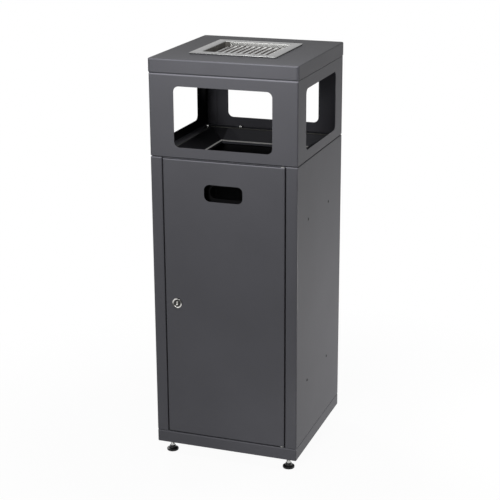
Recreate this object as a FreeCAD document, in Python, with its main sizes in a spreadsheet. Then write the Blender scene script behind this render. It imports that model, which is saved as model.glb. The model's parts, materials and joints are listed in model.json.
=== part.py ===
"""Square free-standing waste bin with a hood on four posts and a lift-out ash pan in its lid.

Lengths are in millimetres. The origin is on the floor under the middle of the bin.
+Z is up, and the door faces -Y.
"""

import FreeCAD
import Part
import Sketcher
import math
import os
from types import SimpleNamespace

SIZES = {
    # Overall
    "width": 350.0,
    "foot_gap": 31.0,
    "base_height": 30.0,
    "body_height": 676.0,
    "hood_height": 190.0,
    "lid_height": 32.0,
    "lid_overhang": 1.5,
    # Sheet metal
    "sheet": 1.5,
    "thin_sheet": 1.0,
    "bend": 2.5,
    "corner": 3.5,
    "lid_corner": 7.0,
    "base_ring": 45.0,
    "seam_lap": 28.0,
    # Hood windows
    "window_width": 232.0,
    "window_height": 138.5,
    "window_sill": 23.5,
    "window_corner": 13.0,
    # Door and its opening
    "stile": 27.5,
    "door_depth": 18.0,
    "door_gap": 2.4,
    "door_gap_top": 1.5,
    "door_gap_bottom": 2.0,
    "stop_lap": 12.5,
    "rail_drop": 22.0,
    "rail_lap": 18.5,
    "rail_set": 4.5,
    "grip_width": 92.0,
    "grip_height": 39.5,
    "grip_corner": 13.0,
    "grip_drop": 72.5,
    "buffer_radius": 5.0,
    "buffer": 1.2,
    "buffer_spread": 400.0,
    # Door pivots
    "pivot_inset": 6.1,
    "pivot_depth": 6.5,
    "pin_radius": 3.0,
    "pin_reach": 10.0,
    "pin_head": 2.0,
    "bush_radius": 4.0,
    "bush_collar": 5.0,
    "bush_length": 6.0,
    # Cam lock
    "lock_inset": 28.7,
    "lock_height": 390.7,
    "lock_head_radius": 12.0,
    "lock_head": 3.0,
    "lock_barrel_radius": 9.5,
    "barrel_gap": 2.5,
    "lock_nut_flats": 24.0,
    "lock_nut": 5.0,
    "plug_radius": 6.2,
    "plug_recess": 0.4,
    "key_width": 1.4,
    "key_height": 7.5,
    "key_depth": 5.0,
    "cam_thickness": 2.5,
    "cam_width": 16.0,
    "cam_reach": 27.0,
    "cam_square": 7.0,
    "cam_screw_radius": 5.5,
    "cam_screw_head": 3.5,
    "cam_screw_depth": 10.0,
    # Chute under the windows
    "chute_play": 1.0,
    "chute_run": 41.0,
    "chute_fall": 21.0,
    "chute_lip": 8.0,
    "chute_inset": 10.0,
    # Inner container
    "liner_side": 34.0,
    "liner_front": 35.0,
    "liner_gap": 9.0,
    "liner_corner": 8.0,
    "liner_rim": 5.0,
    "liner_rim_height": 6.0,
    "hand_width": 90.0,
    "hand_height": 30.0,
    "hand_drop": 45.0,
    # Guide rails for the container
    "guide_rise": 143.5,
    "guide_drop": 139.0,
    "guide_middle": -14.0,
    "guide_length": 220.0,
    "guide_foot": 20.0,
    "guide_web": 30.0,
    "guide_play": 2.5,
    "rivet_spacing": 159.0,
    "rivet_radius": 2.0,
    "rivet_head_radius": 3.25,
    "rivet_head": 1.2,
    # Ash pan and its grate
    "pan_x": -6.0,
    "pan_y": 5.5,
    "pan_flange": 22.0,
    "pan_width": 163.0,
    "pan_length": 155.0,
    "pan_depth": 49.0,
    "pan_rise": 3.0,
    "pan_corner": 4.0,
    "pan_play": 2.0,
    "grate_drop": 9.5,
    "grate_slot": 12.5,
    "grate_play": 1.0,
    "grate_pitch": 14.3,
    "grate_hole_width": 7.5,
    "grate_hole_length": 10.8,
    # Levelling feet
    "foot_inset": 27.0,
    "foot_inset_back": 35.0,
    "pad_radius": 14.0,
    "pad_height": 12.0,
    "pad_chamfer": 1.0,
    "pad_socket": 6.0,
    "spindle_radius": 4.0,
    "spindle_top": 52.0,
    "spindle_chamfer": 1.0,
    "collar_radius": 5.5,
    "collar_height": 4.5,
    "insert_radius": 5.5,
    "insert_flange_radius": 7.0,
    "insert_flange": 1.0,
    "insert_length": 15.0,
    "insert_bulge": 3.75,
    "locknut_flats": 13.0,
    "locknut": 6.5,
    # Small screws
    "screw_radius": 2.5,
    "screw_clearance": 0.25,
    "screw_head_radius": 4.7,
    "screw_head": 3.3,
    "screw_length": 9.5,
    "screw_offset": 80.0,
    "screw_offset_back": 150.0,
    "screw_edge": 13.0,
    "nut_flats": 8.0,
    "nut": 4.0,
    # Fits
    "running": 0.05,
    "air": 0.3,
    "cam_air": 0.5,
}
GRATE_HOLES = 10
# Corner radius of a slot or a bar as a share of its width
SLOT_END = 0.45
# Rounding of a screw head, a lock head and a rivet head as a share of its height
HEAD_ROUND = 0.4
DOME_ROUND = 0.7
# Outline of a foot pad above its foot: shares of its radius and its height
PAD_OUTLINE = ((1.0, 0.38), (0.6, 0.8), (0.5, 1.0))
PARTS_FOLDER = "parts"


class Length:
    """A length as both the text of a formula on the sizes sheet and the number it gives."""

    def __init__(self, text, value):
        self.text = text
        self.value = value

    def __add__(self, other):
        other = length(other)
        return Length(f"({self.text} + {other.text})", self.value + other.value)

    def __sub__(self, other):
        other = length(other)
        return Length(f"({self.text} - {other.text})", self.value - other.value)

    def __mul__(self, factor):
        return Length(f"({self.text} * {factor!r})", self.value * factor)

    def __truediv__(self, factor):
        return Length(f"({self.text} / {factor!r})", self.value / factor)

    def __neg__(self):
        return Length(f"(0 - {self.text})", -self.value)


def length(value):
    """Takes a plain number as a length."""
    if isinstance(value, Length):
        return value
    return Length(repr(float(value)), float(value))


def fill_sheet(document):
    """Writes every size on the sheet and gives the sizes back as lengths."""
    sheet = document.addObject("Spreadsheet::Sheet", "sizes")
    for row, (name, value) in enumerate(SIZES.items(), start=1):
        sheet.set(f"A{row}", name)
        sheet.set(f"B{row}", str(value))
        sheet.setAlias(f"B{row}", name)
    document.recompute()
    return SimpleNamespace(**{name: Length(f"sizes.{name}", value) for name, value in SIZES.items()})


doc = FreeCAD.newDocument("waste_bin")
s = fill_sheet(doc)
bodies = []

# Levels and half widths that several pieces share
HALF = s.width / 2
LID_HALF = HALF + s.lid_overhang
Z_BASE = s.foot_gap
Z_FLOOR = Z_BASE + s.base_height
Z_BODY = Z_FLOOR + s.body_height
Z_HOOD = Z_BODY + s.thin_sheet
Z_LID = Z_HOOD + s.hood_height
Z_TOP = Z_LID + s.lid_height
Z_RIM = Z_TOP + s.pan_rise
Z_CHUTE = Z_HOOD - s.chute_fall
FRONT = -HALF
FLANGE = s.door_depth + s.buffer + s.air + s.rail_set
MOUTH = HALF - FLANGE
OPENING_HALF = HALF - s.stile
DOOR_HALF = OPENING_HALF - s.door_gap
DOOR_LOW = Z_FLOOR + s.door_gap_bottom
DOOR_HIGH = Z_BODY - s.sheet - s.door_gap_top
PIVOT_X = DOOR_HALF - s.pivot_inset
PIVOT_Y = FRONT + s.pivot_depth
STOP_Y = FRONT + s.door_depth + s.buffer + s.air
CAM_Y = STOP_Y + s.sheet + s.cam_air
LOCK_X = s.lock_inset - DOOR_HALF
SCREW_HOLE = s.screw_radius + s.screw_clearance
SCREW_LINE = HALF - s.screw_edge
FOOT_AT = HALF - s.foot_inset
BACK_FOOT_AT = HALF - s.foot_inset_back
FOOT_BORE = s.spindle_radius + s.running
CHUTE_TOP = MOUTH - s.chute_play
CHUTE_MOUTH = CHUTE_TOP - s.chute_run
LINER_WIDTH = (HALF - s.liner_side) * 2
LINER_DEPTH = (HALF - s.liner_front) * 2
LINER_TOP = Z_CHUTE - s.chute_lip - s.liner_gap
GUIDE_FACE = LINER_WIDTH / 2 + s.guide_play
GUIDE_LOW = Z_FLOOR + s.guide_rise
GUIDE_HIGH = Z_BODY - s.guide_drop
RIVET_ENDS = (s.guide_middle - s.rivet_spacing / 2, s.guide_middle + s.rivet_spacing / 2)
RIVETS = [(y, level) for level in (GUIDE_LOW, GUIDE_HIGH) for y in RIVET_ENDS]
WALL_INNER = HALF - s.sheet
PAN_FLOOR = Z_RIM - s.pan_depth
SIDE_SCREWS = [
    (SCREW_LINE, s.screw_offset_back),
    (SCREW_LINE, -s.screw_offset),
    (-SCREW_LINE, s.screw_offset_back),
    (-SCREW_LINE, -s.screw_offset),
]
BACK_SCREWS = [(s.screw_offset, SCREW_LINE), (-s.screw_offset, SCREW_LINE)]
FRONT_SCREWS = [(s.screw_offset, -SCREW_LINE), (-s.screw_offset, -SCREW_LINE)]
THREE_SIDES = SIDE_SCREWS + BACK_SCREWS
ALL_SIDES = THREE_SIDES + FRONT_SCREWS
FEET = {
    "front_left": (-FOOT_AT, -FOOT_AT),
    "front_right": (FOOT_AT, -FOOT_AT),
    "back_left": (-BACK_FOOT_AT, BACK_FOOT_AT),
    "back_right": (BACK_FOOT_AT, BACK_FOOT_AT),
}


def new_body(label):
    """Starts one piece under its own name."""
    body = doc.addObject("PartDesign::Body", label)
    body.Label = label
    body.AllowCompound = True
    bodies.append(body)
    return body


def sketch(body, role, offset=0.0):
    """Places an empty sketch on one of the piece's own planes, moved along the plane's normal."""
    plane = next(f for f in body.Origin.OriginFeatures if f.Role == role)
    made = body.newObject("Sketcher::SketchObject", f"{body.Label}_sketch")
    made.AttachmentSupport = [(plane, "")]
    made.MapMode = "FlatFace"
    made.setExpression("AttachmentOffset.Base.z", length(offset).text)
    return made


def bind(made, constraint, size):
    """Adds one dimension to a sketch and ties it to its formula."""
    index = made.addConstraint(constraint)
    made.setExpression(f"Constraints[{index}]", length(size).text)


def place_point(made, geometry, vertex, x, y):
    """Ties one point of a sketch to its two coordinates."""
    x, y = length(x), length(y)
    bind(made, Sketcher.Constraint("DistanceX", -1, 1, geometry, vertex, x.value), x)
    bind(made, Sketcher.Constraint("DistanceY", -1, 1, geometry, vertex, y.value), y)


def vector(x, y):
    """Gives a point on a sketch from two lengths."""
    return FreeCAD.Vector(length(x).value, length(y).value, 0)


def polygon(made, points):
    """Draws a closed outline through the points."""
    first = made.GeometryCount
    count = len(points)
    for i, point in enumerate(points):
        made.addGeometry(Part.LineSegment(vector(*point), vector(*points[(i + 1) % count])))
    for i in range(count):
        made.addConstraint(Sketcher.Constraint("Coincident", first + i, 2, first + (i + 1) % count, 1))
    for i, point in enumerate(points):
        place_point(made, first + i, 1, *point)


def box(made, left, low, right, high):
    """Draws a rectangle between two corners."""
    polygon(made, [(left, low), (right, low), (right, high), (left, high)])


def square(made, half):
    """Draws a square around the middle."""
    half = length(half)
    box(made, -half, -half, half, half)


def rounded(made, x, y, width, height, radius):
    """Draws a rectangle with round corners around the point x, y."""
    x, y, width, height, radius = (length(v) for v in (x, y, width, height, radius))
    left, right = x - width / 2, x + width / 2
    low, high = y - height / 2, y + height / 2
    corners = [
        (right - radius, low + radius, -90),
        (right - radius, high - radius, 0),
        (left + radius, high - radius, 90),
        (left + radius, low + radius, 180),
    ]
    sides = [
        ((left + radius, low), (right - radius, low)),
        ((right, low + radius), (right, high - radius)),
        ((right - radius, high), (left + radius, high)),
        ((left, high - radius), (left, low + radius)),
    ]
    first = made.GeometryCount
    for (start, end), (cx, cy, angle) in zip(sides, corners):
        made.addGeometry(Part.LineSegment(vector(*start), vector(*end)))
        ring = Part.Circle(vector(cx, cy), FreeCAD.Vector(0, 0, 1), radius.value)
        made.addGeometry(Part.ArcOfCircle(ring, math.radians(angle), math.radians(angle + 90)))
    for i in range(4):
        line, arc = first + 2 * i, first + 2 * i + 1
        after = first + (2 * i + 2) % 8
        made.addConstraint(Sketcher.Constraint("Tangent", line, 2, arc, 1))
        made.addConstraint(Sketcher.Constraint("Tangent", arc, 2, after, 1))
        made.addConstraint(Sketcher.Constraint("Vertical" if i % 2 else "Horizontal", line))
        if i:
            made.addConstraint(Sketcher.Constraint("Equal", first + 1, arc))
    bind(made, Sketcher.Constraint("Radius", first + 1, radius.value), radius)
    bind(made, Sketcher.Constraint("DistanceY", -1, 1, first, 1, low.value), low)
    bind(made, Sketcher.Constraint("DistanceX", -1, 1, first + 2, 1, right.value), right)
    bind(made, Sketcher.Constraint("DistanceY", -1, 1, first + 4, 1, high.value), high)
    bind(made, Sketcher.Constraint("DistanceX", -1, 1, first + 6, 1, left.value), left)


def circles(made, centres, radius):
    """Draws one circle around every centre."""
    radius = length(radius)
    for centre in centres:
        index = made.addGeometry(Part.Circle(vector(*centre), FreeCAD.Vector(0, 0, 1), radius.value))
        place_point(made, index, 3, *centre)
        bind(made, Sketcher.Constraint("Radius", index, radius.value), radius)


def hexagons(made, centres, flats):
    """Draws one hexagon around every centre."""
    radius = length(flats) / math.sqrt(3)
    for x, y in centres:
        turns = [math.radians(60 * i) for i in range(6)]
        polygon(made, [(length(x) + radius * math.cos(t), length(y) + radius * math.sin(t)) for t in turns])


def grow(body, made, size, backwards=False):
    """Pads a sketch."""
    feature = body.newObject("PartDesign::Pad", f"{body.Label}_pad")
    feature.Profile = made
    feature.setExpression("Length", length(size).text)
    feature.Reversed = backwards
    body.Tip = feature
    doc.recompute()
    return feature


def cut(body, made, size, backwards=False):
    """Pockets a sketch and makes sure that it took something away."""
    before = body.Shape.Volume
    feature = body.newObject("PartDesign::Pocket", f"{body.Label}_pocket")
    feature.Profile = made
    feature.setExpression("Length", length(size).text)
    feature.Reversed = backwards
    body.Tip = feature
    doc.recompute()
    if body.Shape.Volume > before - 1e-3:
        raise RuntimeError(f"a pocket of {body.Label} removes nothing")
    return feature


def spin(body, made):
    """Turns a sketch on the upright plane about the vertical axis."""
    feature = body.newObject("PartDesign::Revolution", f"{body.Label}_turned")
    feature.Profile = made
    feature.ReferenceAxis = (made, ["V_Axis"])
    feature.Angle = 360
    body.Tip = feature
    doc.recompute()
    return feature


def round_edges(body, wanted, radius):
    """Rounds every edge of the piece whose bounding box the test accepts."""
    base = body.Tip
    names = [f"Edge{i}" for i, edge in enumerate(base.Shape.Edges, start=1) if wanted(edge.BoundBox)]
    feature = body.newObject("PartDesign::Fillet", f"{body.Label}_rounding")
    feature.Base = (base, names)
    feature.setExpression("Radius", length(radius).text)
    body.Tip = feature
    doc.recompute()
    return feature


def flat_at(axis, *levels):
    """Gives a test for edges that lie at one of the levels on an axis."""
    values = [length(level).value for level in levels]

    def test(bounds):
        low, high = getattr(bounds, f"{axis}Min"), getattr(bounds, f"{axis}Max")
        return any(abs(low - v) < 1e-4 and abs(high - v) < 1e-4 for v in values)

    return test


def folded_box(label, half, low, high, corner):
    """Makes a closed box of folded sheet with round corners and round bends."""
    body = new_body(label)
    outer = sketch(body, "XY_Plane", low)
    rounded(outer, 0, 0, half * 2, half * 2, corner)
    grow(body, outer, high - low)
    round_edges(body, flat_at("Z", low, high), s.bend)
    inner = sketch(body, "XY_Plane", high - s.sheet)
    clear = (half - s.sheet) * 2
    rounded(inner, 0, 0, clear, clear, corner - s.sheet)
    cut(body, inner, high - low - s.sheet * 2)
    return body


def drill(body, centres, radius, top, depth):
    """Drills upright holes down from a level."""
    made = sketch(body, "XY_Plane", top)
    circles(made, centres, radius)
    cut(body, made, depth)


def make_base():
    """Makes the plinth: a floor plate folded down and in again, so that the feet hold in its lower ring."""
    body = folded_box("base_tray", HALF, Z_BASE, Z_FLOOR, s.corner)
    ring = sketch(body, "XY_Plane", Z_BASE + s.sheet)
    square(ring, HALF - s.base_ring)
    cut(body, ring, s.sheet)
    drill(body, FEET.values(), s.insert_radius, Z_BASE + s.sheet, s.sheet)
    drill(body, THREE_SIDES, SCREW_HOLE, Z_FLOOR, s.sheet)
    drill(body, [(PIVOT_X, PIVOT_Y)], s.pin_radius, Z_FLOOR, s.sheet)


def round_stile(body, side):
    """Rounds the folded front edge of one stile beside the door."""
    low = Z_FLOOR + s.bend
    made = sketch(body, "XY_Plane", Z_BODY - s.bend)
    edge = OPENING_HALF * side
    centre = (OPENING_HALF + s.bend) * side
    inner = FRONT + s.bend
    made.addGeometry(Part.LineSegment(vector(edge, FRONT), vector(centre, FRONT)))
    ring = Part.Circle(vector(centre, inner), FreeCAD.Vector(0, 0, 1), s.bend.value)
    first, last = (180, 270) if side > 0 else (270, 360)
    made.addGeometry(Part.ArcOfCircle(ring, math.radians(first), math.radians(last)))
    made.addGeometry(Part.LineSegment(vector(edge, inner), vector(edge, FRONT)))
    at_front, at_edge = (2, 1) if side > 0 else (1, 2)
    made.addConstraint(Sketcher.Constraint("Coincident", 0, 2, 1, at_front))
    made.addConstraint(Sketcher.Constraint("Coincident", 1, at_edge, 2, 1))
    made.addConstraint(Sketcher.Constraint("Coincident", 2, 2, 0, 1))
    place_point(made, 0, 1, edge, FRONT)
    place_point(made, 0, 2, centre, FRONT)
    place_point(made, 1, 3, centre, inner)
    bind(made, Sketcher.Constraint("DistanceY", -1, 1, 2, 1, inner.value), inner)
    cut(body, made, Z_BODY - s.bend - low)


def make_body_shell():
    """Makes the wrapped body: two sides, the back and the two front stiles with their returns."""
    body = folded_box("body_shell", HALF, Z_FLOOR, Z_BODY, s.corner)
    mouth = sketch(body, "XY_Plane", Z_BODY)
    square(mouth, MOUTH)
    cut(body, mouth, s.body_height)
    doorway = sketch(body, "XZ_Plane", HALF)
    box(doorway, -OPENING_HALF, Z_FLOOR, OPENING_HALF, Z_BODY)
    cut(body, doorway, FLANGE + s.sheet)
    returns = sketch(body, "XY_Plane", Z_FLOOR + s.bend)
    outer = OPENING_HALF + s.sheet
    box(returns, OPENING_HALF, FRONT, outer, STOP_Y)
    box(returns, -outer, FRONT, -OPENING_HALF, STOP_Y)
    grow(body, returns, s.body_height - s.bend * 2)
    round_stile(body, 1)
    round_stile(body, -1)
    drill(body, THREE_SIDES, SCREW_HOLE, Z_BODY, s.body_height)
    rivets = sketch(body, "YZ_Plane", HALF)
    circles(rivets, RIVETS, s.rivet_radius)
    cut(body, rivets, s.width)


def make_door_stop():
    """Makes the strip on the left return that the door and the lock's cam close against."""
    body = new_body("door_stop")
    made = sketch(body, "XY_Plane", Z_FLOOR + s.bend)
    edge = -OPENING_HALF
    box(made, edge - s.sheet, STOP_Y, edge + s.stop_lap, STOP_Y + s.sheet)
    grow(body, made, s.body_height - s.bend * 2)


def make_front_rail():
    """Makes the angle that ties the stiles together above the door and holds its upper pivot."""
    body = new_body("front_rail")
    back = -MOUTH
    shelf = sketch(body, "XY_Plane", Z_BODY - s.sheet)
    reach = DOOR_HALF + s.door_gap / 2
    box(shelf, -reach, FRONT + s.bend, reach, back)
    grow(body, shelf, s.sheet)
    web = sketch(body, "XY_Plane", Z_BODY - s.rail_drop)
    lap = OPENING_HALF + s.rail_lap
    box(web, -lap, back - s.sheet, lap, back)
    grow(body, web, s.rail_drop - s.sheet)
    drill(body, [(PIVOT_X, PIVOT_Y)], s.pin_radius, Z_BODY, s.sheet)


def make_hood():
    """Makes the hood: a square tube with a window in every side and a flange at both ends."""
    body = folded_box("hood", HALF, Z_HOOD, Z_LID, s.corner)
    mouth = sketch(body, "XY_Plane", Z_LID)
    square(mouth, MOUTH)
    cut(body, mouth, s.hood_height)
    middle = Z_HOOD + s.window_sill + s.window_height / 2
    for role in ("XZ_Plane", "YZ_Plane"):
        window = sketch(body, role, HALF)
        rounded(window, 0, middle, s.window_width, s.window_height, s.window_corner)
        cut(body, window, s.width)
    drill(body, ALL_SIDES, SCREW_HOLE, Z_LID, s.sheet)
    drill(body, THREE_SIDES, SCREW_HOLE, Z_HOOD + s.sheet, s.sheet)
    lap = sketch(body, "XY_Plane", Z_HOOD + s.sheet)
    box(lap, -WALL_INNER, WALL_INNER - s.sheet, s.seam_lap - WALL_INNER, WALL_INNER)
    grow(body, lap, s.hood_height - s.sheet * 2)


def make_lid():
    """Makes the lid: a shallow folded box, open below, with the cut-out that the ash pan hangs in."""
    body = folded_box("lid", LID_HALF, Z_LID, Z_TOP, s.lid_corner)
    under = sketch(body, "XY_Plane", Z_LID + s.sheet)
    square(under, LID_HALF - FLANGE)
    cut(body, under, s.sheet)
    hole = sketch(body, "XY_Plane", Z_TOP)
    play = (s.thin_sheet + s.pan_play) * 2
    rounded(hole, s.pan_x, s.pan_y, s.pan_width + play, s.pan_length + play, s.pan_corner)
    cut(body, hole, s.sheet)
    drill(body, ALL_SIDES, SCREW_HOLE, Z_LID + s.sheet, s.sheet)


def make_chute():
    """Makes the sloping chute plate that leads waste from the windows into the container."""
    body = new_body("chute_plate")
    slant = s.thin_sheet * (math.hypot(s.chute_run.value, s.chute_fall.value) / s.chute_fall.value)
    for kind, extra in (("Additive", slant), ("Subtractive", length(0))):
        low = sketch(body, "XY_Plane", Z_CHUTE)
        square(low, CHUTE_MOUTH + extra)
        high = sketch(body, "XY_Plane", Z_HOOD)
        square(high, CHUTE_TOP + extra)
        if kind == "Subtractive":
            rim = sketch(body, "XY_Plane", Z_BODY)
            square(rim, HALF - s.chute_inset)
            grow(body, rim, s.thin_sheet)
        loft = body.newObject(f"PartDesign::{kind}Loft", f"{body.Label}_slope")
        loft.Profile = low
        loft.Sections = [high]
        loft.Ruled = True
        body.Tip = loft
        doc.recompute()
    lip = sketch(body, "XY_Plane", Z_CHUTE - s.chute_lip)
    square(lip, CHUTE_MOUTH)
    square(lip, CHUTE_MOUTH + s.thin_sheet)
    grow(body, lip, s.chute_lip)
    drill(body, THREE_SIDES, SCREW_HOLE, Z_HOOD, s.thin_sheet)


def make_pan():
    """Makes the ash pan with its raised rim."""
    body = new_body("ash_pan")
    outer = s.thin_sheet * 2
    deep = sketch(body, "XY_Plane", PAN_FLOOR - s.thin_sheet)
    rounded(deep, s.pan_x, s.pan_y, s.pan_width + outer, s.pan_length + outer, s.pan_corner)
    grow(body, deep, s.pan_depth + s.thin_sheet)
    rim = sketch(body, "XY_Plane", Z_TOP)
    wide = s.pan_flange * 2
    rounded(rim, s.pan_x, s.pan_y, s.pan_width + wide, s.pan_length + wide, s.pan_corner)
    grow(body, rim, s.pan_rise)
    under = sketch(body, "XY_Plane", Z_RIM - s.thin_sheet)
    hem = wide - outer
    rounded(under, s.pan_x, s.pan_y, s.pan_width + hem, s.pan_length + hem, s.pan_corner - s.thin_sheet)
    rounded(under, s.pan_x, s.pan_y, s.pan_width + outer, s.pan_length + outer, s.pan_corner)
    cut(body, under, s.pan_rise - s.thin_sheet)
    hollow = sketch(body, "XY_Plane", Z_RIM)
    rounded(hollow, s.pan_x, s.pan_y, s.pan_width, s.pan_length, s.pan_corner - s.thin_sheet)
    cut(body, hollow, s.pan_depth)


def make_grate():
    """Makes the loose perforated grate: a plate on two legs, with a gap for butts on its left."""
    left = s.pan_x - s.pan_width / 2 + s.grate_play
    right = s.pan_x + s.pan_width / 2 - s.grate_play
    leg = left + s.grate_slot - s.grate_play
    top = Z_RIM - s.grate_drop
    end = s.pan_length / 2 - s.grate_play * 2
    under = top - s.sheet
    outlines = {
        "grate_leg_left": [
            (left, PAN_FLOOR),
            (leg + s.sheet, PAN_FLOOR),
            (leg + s.sheet, under),
            (leg, under),
            (leg, PAN_FLOOR + s.sheet),
            (left, PAN_FLOOR + s.sheet),
        ],
        "grate_leg_right": [
            (right - s.sheet, PAN_FLOOR),
            (right, PAN_FLOOR),
            (right, under),
            (right - s.sheet, under),
        ],
        "ash_grate": [(leg, under), (right, under), (right, top), (leg, top)],
    }
    for label, points in outlines.items():
        body = new_body(label)
        profile = sketch(body, "XZ_Plane", end - s.pan_y)
        polygon(profile, points)
        grow(body, profile, end * 2, backwards=True)
    row = sketch(body, "XY_Plane", top)
    spread = s.grate_pitch * ((GRATE_HOLES - 1) / 2)
    middle = (leg + right) / 2
    side = s.grate_hole_width / 2
    reach = s.grate_hole_length / 2
    for i in range(GRATE_HOLES):
        x = middle - spread + s.grate_pitch * i
        y = s.pan_y - spread
        box(row, x - side, y - reach, x + side, y + reach)
    holes = cut(body, row, s.sheet)
    rows = body.newObject("PartDesign::LinearPattern", "ash_grate_rows")
    rows.Originals = [holes]
    rows.Direction = (row, ["V_Axis"])
    rows.setExpression("Length", (spread * 2).text)
    rows.Occurrences = GRATE_HOLES
    body.Tip = rows
    doc.recompute()


def make_liner():
    """Makes the loose inner container with a thick rim and a hand hole at front and back."""
    body = new_body("liner")
    height = LINER_TOP - Z_FLOOR
    wall = sketch(body, "XY_Plane", Z_FLOOR)
    rounded(wall, 0, 0, LINER_WIDTH, LINER_DEPTH, s.liner_corner)
    grow(body, wall, height)
    rim = sketch(body, "XY_Plane", LINER_TOP - s.liner_rim_height)
    wide = s.liner_rim * 2
    rounded(rim, 0, 0, LINER_WIDTH + wide, LINER_DEPTH + wide, s.liner_corner + s.liner_rim)
    grow(body, rim, s.liner_rim_height)
    inside = sketch(body, "XY_Plane", LINER_TOP)
    thin = s.thin_sheet * 2
    rounded(inside, 0, 0, LINER_WIDTH - thin, LINER_DEPTH - thin, s.liner_corner - s.thin_sheet)
    cut(body, inside, height - s.thin_sheet)
    hand = sketch(body, "XZ_Plane", LINER_DEPTH / 2)
    rounded(hand, 0, LINER_TOP - s.hand_drop, s.hand_width, s.hand_height, s.hand_height * SLOT_END)
    cut(body, hand, LINER_DEPTH)


def make_guide(label, side, level):
    """Makes one folded guide rail on a side wall."""
    body = new_body(label)
    wall = WALL_INNER * side
    foot = (WALL_INNER - s.sheet) * side
    face = GUIDE_FACE * side
    back = (GUIDE_FACE + s.sheet) * side
    shelf = level - s.guide_foot / 2
    profile = sketch(body, "XZ_Plane", -(s.guide_middle + s.guide_length / 2))
    polygon(
        profile,
        [
            (wall, level + s.guide_foot / 2),
            (foot, level + s.guide_foot / 2),
            (foot, shelf + s.sheet),
            (face, shelf + s.sheet),
            (face, shelf - s.guide_web),
            (back, shelf - s.guide_web),
            (back, shelf),
            (wall, shelf),
        ],
    )
    grow(body, profile, s.guide_length)
    holes = sketch(body, "YZ_Plane", wall if side > 0 else foot)
    circles(holes, [r for r in RIVETS if r[1] is level], s.rivet_radius)
    cut(body, holes, s.sheet)


def make_rivets():
    """Makes the rivets that hold the guide rails to both sides."""
    body = new_body("guide_rivets")
    grip = s.sheet * 3
    for start, size, radius in (
        (HALF - grip, grip, s.rivet_radius),
        (HALF, s.rivet_head, s.rivet_head_radius),
        (HALF - grip, s.sheet, s.rivet_radius + s.rivet_head / 2),
        (-HALF, grip, s.rivet_radius),
        (-HALF - s.rivet_head, s.rivet_head, s.rivet_head_radius),
        (grip - HALF - s.sheet, s.sheet, s.rivet_radius + s.rivet_head / 2),
    ):
        made = sketch(body, "YZ_Plane", start)
        circles(made, RIVETS, radius)
        grow(body, made, size)
    round_edges(body, flat_at("X", HALF + s.rivet_head, -HALF - s.rivet_head), s.rivet_head * DOME_ROUND)


def make_door():
    """Makes the door: a shallow folded pan with a finger slot, a lock hole and two pivot holes."""
    body = new_body("door_panel")
    inner_y = HALF - s.door_depth
    face = sketch(body, "XZ_Plane", inner_y)
    box(face, -DOOR_HALF, DOOR_LOW, DOOR_HALF, DOOR_HIGH)
    grow(body, face, s.door_depth)
    round_edges(body, flat_at("Y", FRONT), s.bend)
    hollow = sketch(body, "XZ_Plane", inner_y)
    side = DOOR_HALF - s.sheet
    box(hollow, -side, DOOR_LOW + s.sheet, side, DOOR_HIGH - s.sheet)
    cut(body, hollow, s.door_depth - s.sheet, backwards=True)
    grip = sketch(body, "XZ_Plane", HALF)
    rounded(grip, 0, DOOR_HIGH - s.grip_drop, s.grip_width, s.grip_height, s.grip_corner)
    circles(grip, [(LOCK_X, s.lock_height)], s.lock_barrel_radius)
    cut(body, grip, s.sheet)
    drill(body, [(PIVOT_X, PIVOT_Y)], s.bush_radius, DOOR_HIGH, DOOR_HIGH - DOOR_LOW)


def make_pin(label, low, high, head=None):
    """Makes one pivot pin, with a flat head below where it has one."""
    body = new_body(label)
    shank = sketch(body, "XY_Plane", low)
    circles(shank, [(PIVOT_X, PIVOT_Y)], s.pin_radius)
    grow(body, shank, high - low)
    if head:
        flat = sketch(body, "XY_Plane", low)
        circles(flat, [(PIVOT_X, PIVOT_Y)], s.bush_collar)
        grow(body, flat, head)


def make_bush(label, face, collar, up):
    """Makes one collared bush that the door turns on."""
    body = new_body(label)
    centre = [(PIVOT_X, PIVOT_Y)]
    for radius, start, size in (
        (s.bush_collar, face - collar if up else face, collar),
        (s.bush_radius, face if up else face - s.bush_length, s.bush_length),
    ):
        made = sketch(body, "XY_Plane", start)
        circles(made, centre, radius)
        circles(made, centre, s.pin_radius + s.running)
        grow(body, made, size)


def make_buffers():
    """Makes the two soft buffers on the door stop."""
    body = new_body("door_buffers")
    x = s.stop_lap / 2 - OPENING_HALF
    middle = (DOOR_LOW + DOOR_HIGH) / 2
    made = sketch(body, "XZ_Plane", -STOP_Y)
    spots = [(x, middle + s.buffer_spread / 2), (x, middle - s.buffer_spread / 2)]
    circles(made, spots, s.buffer_radius)
    grow(body, made, s.buffer)


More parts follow.
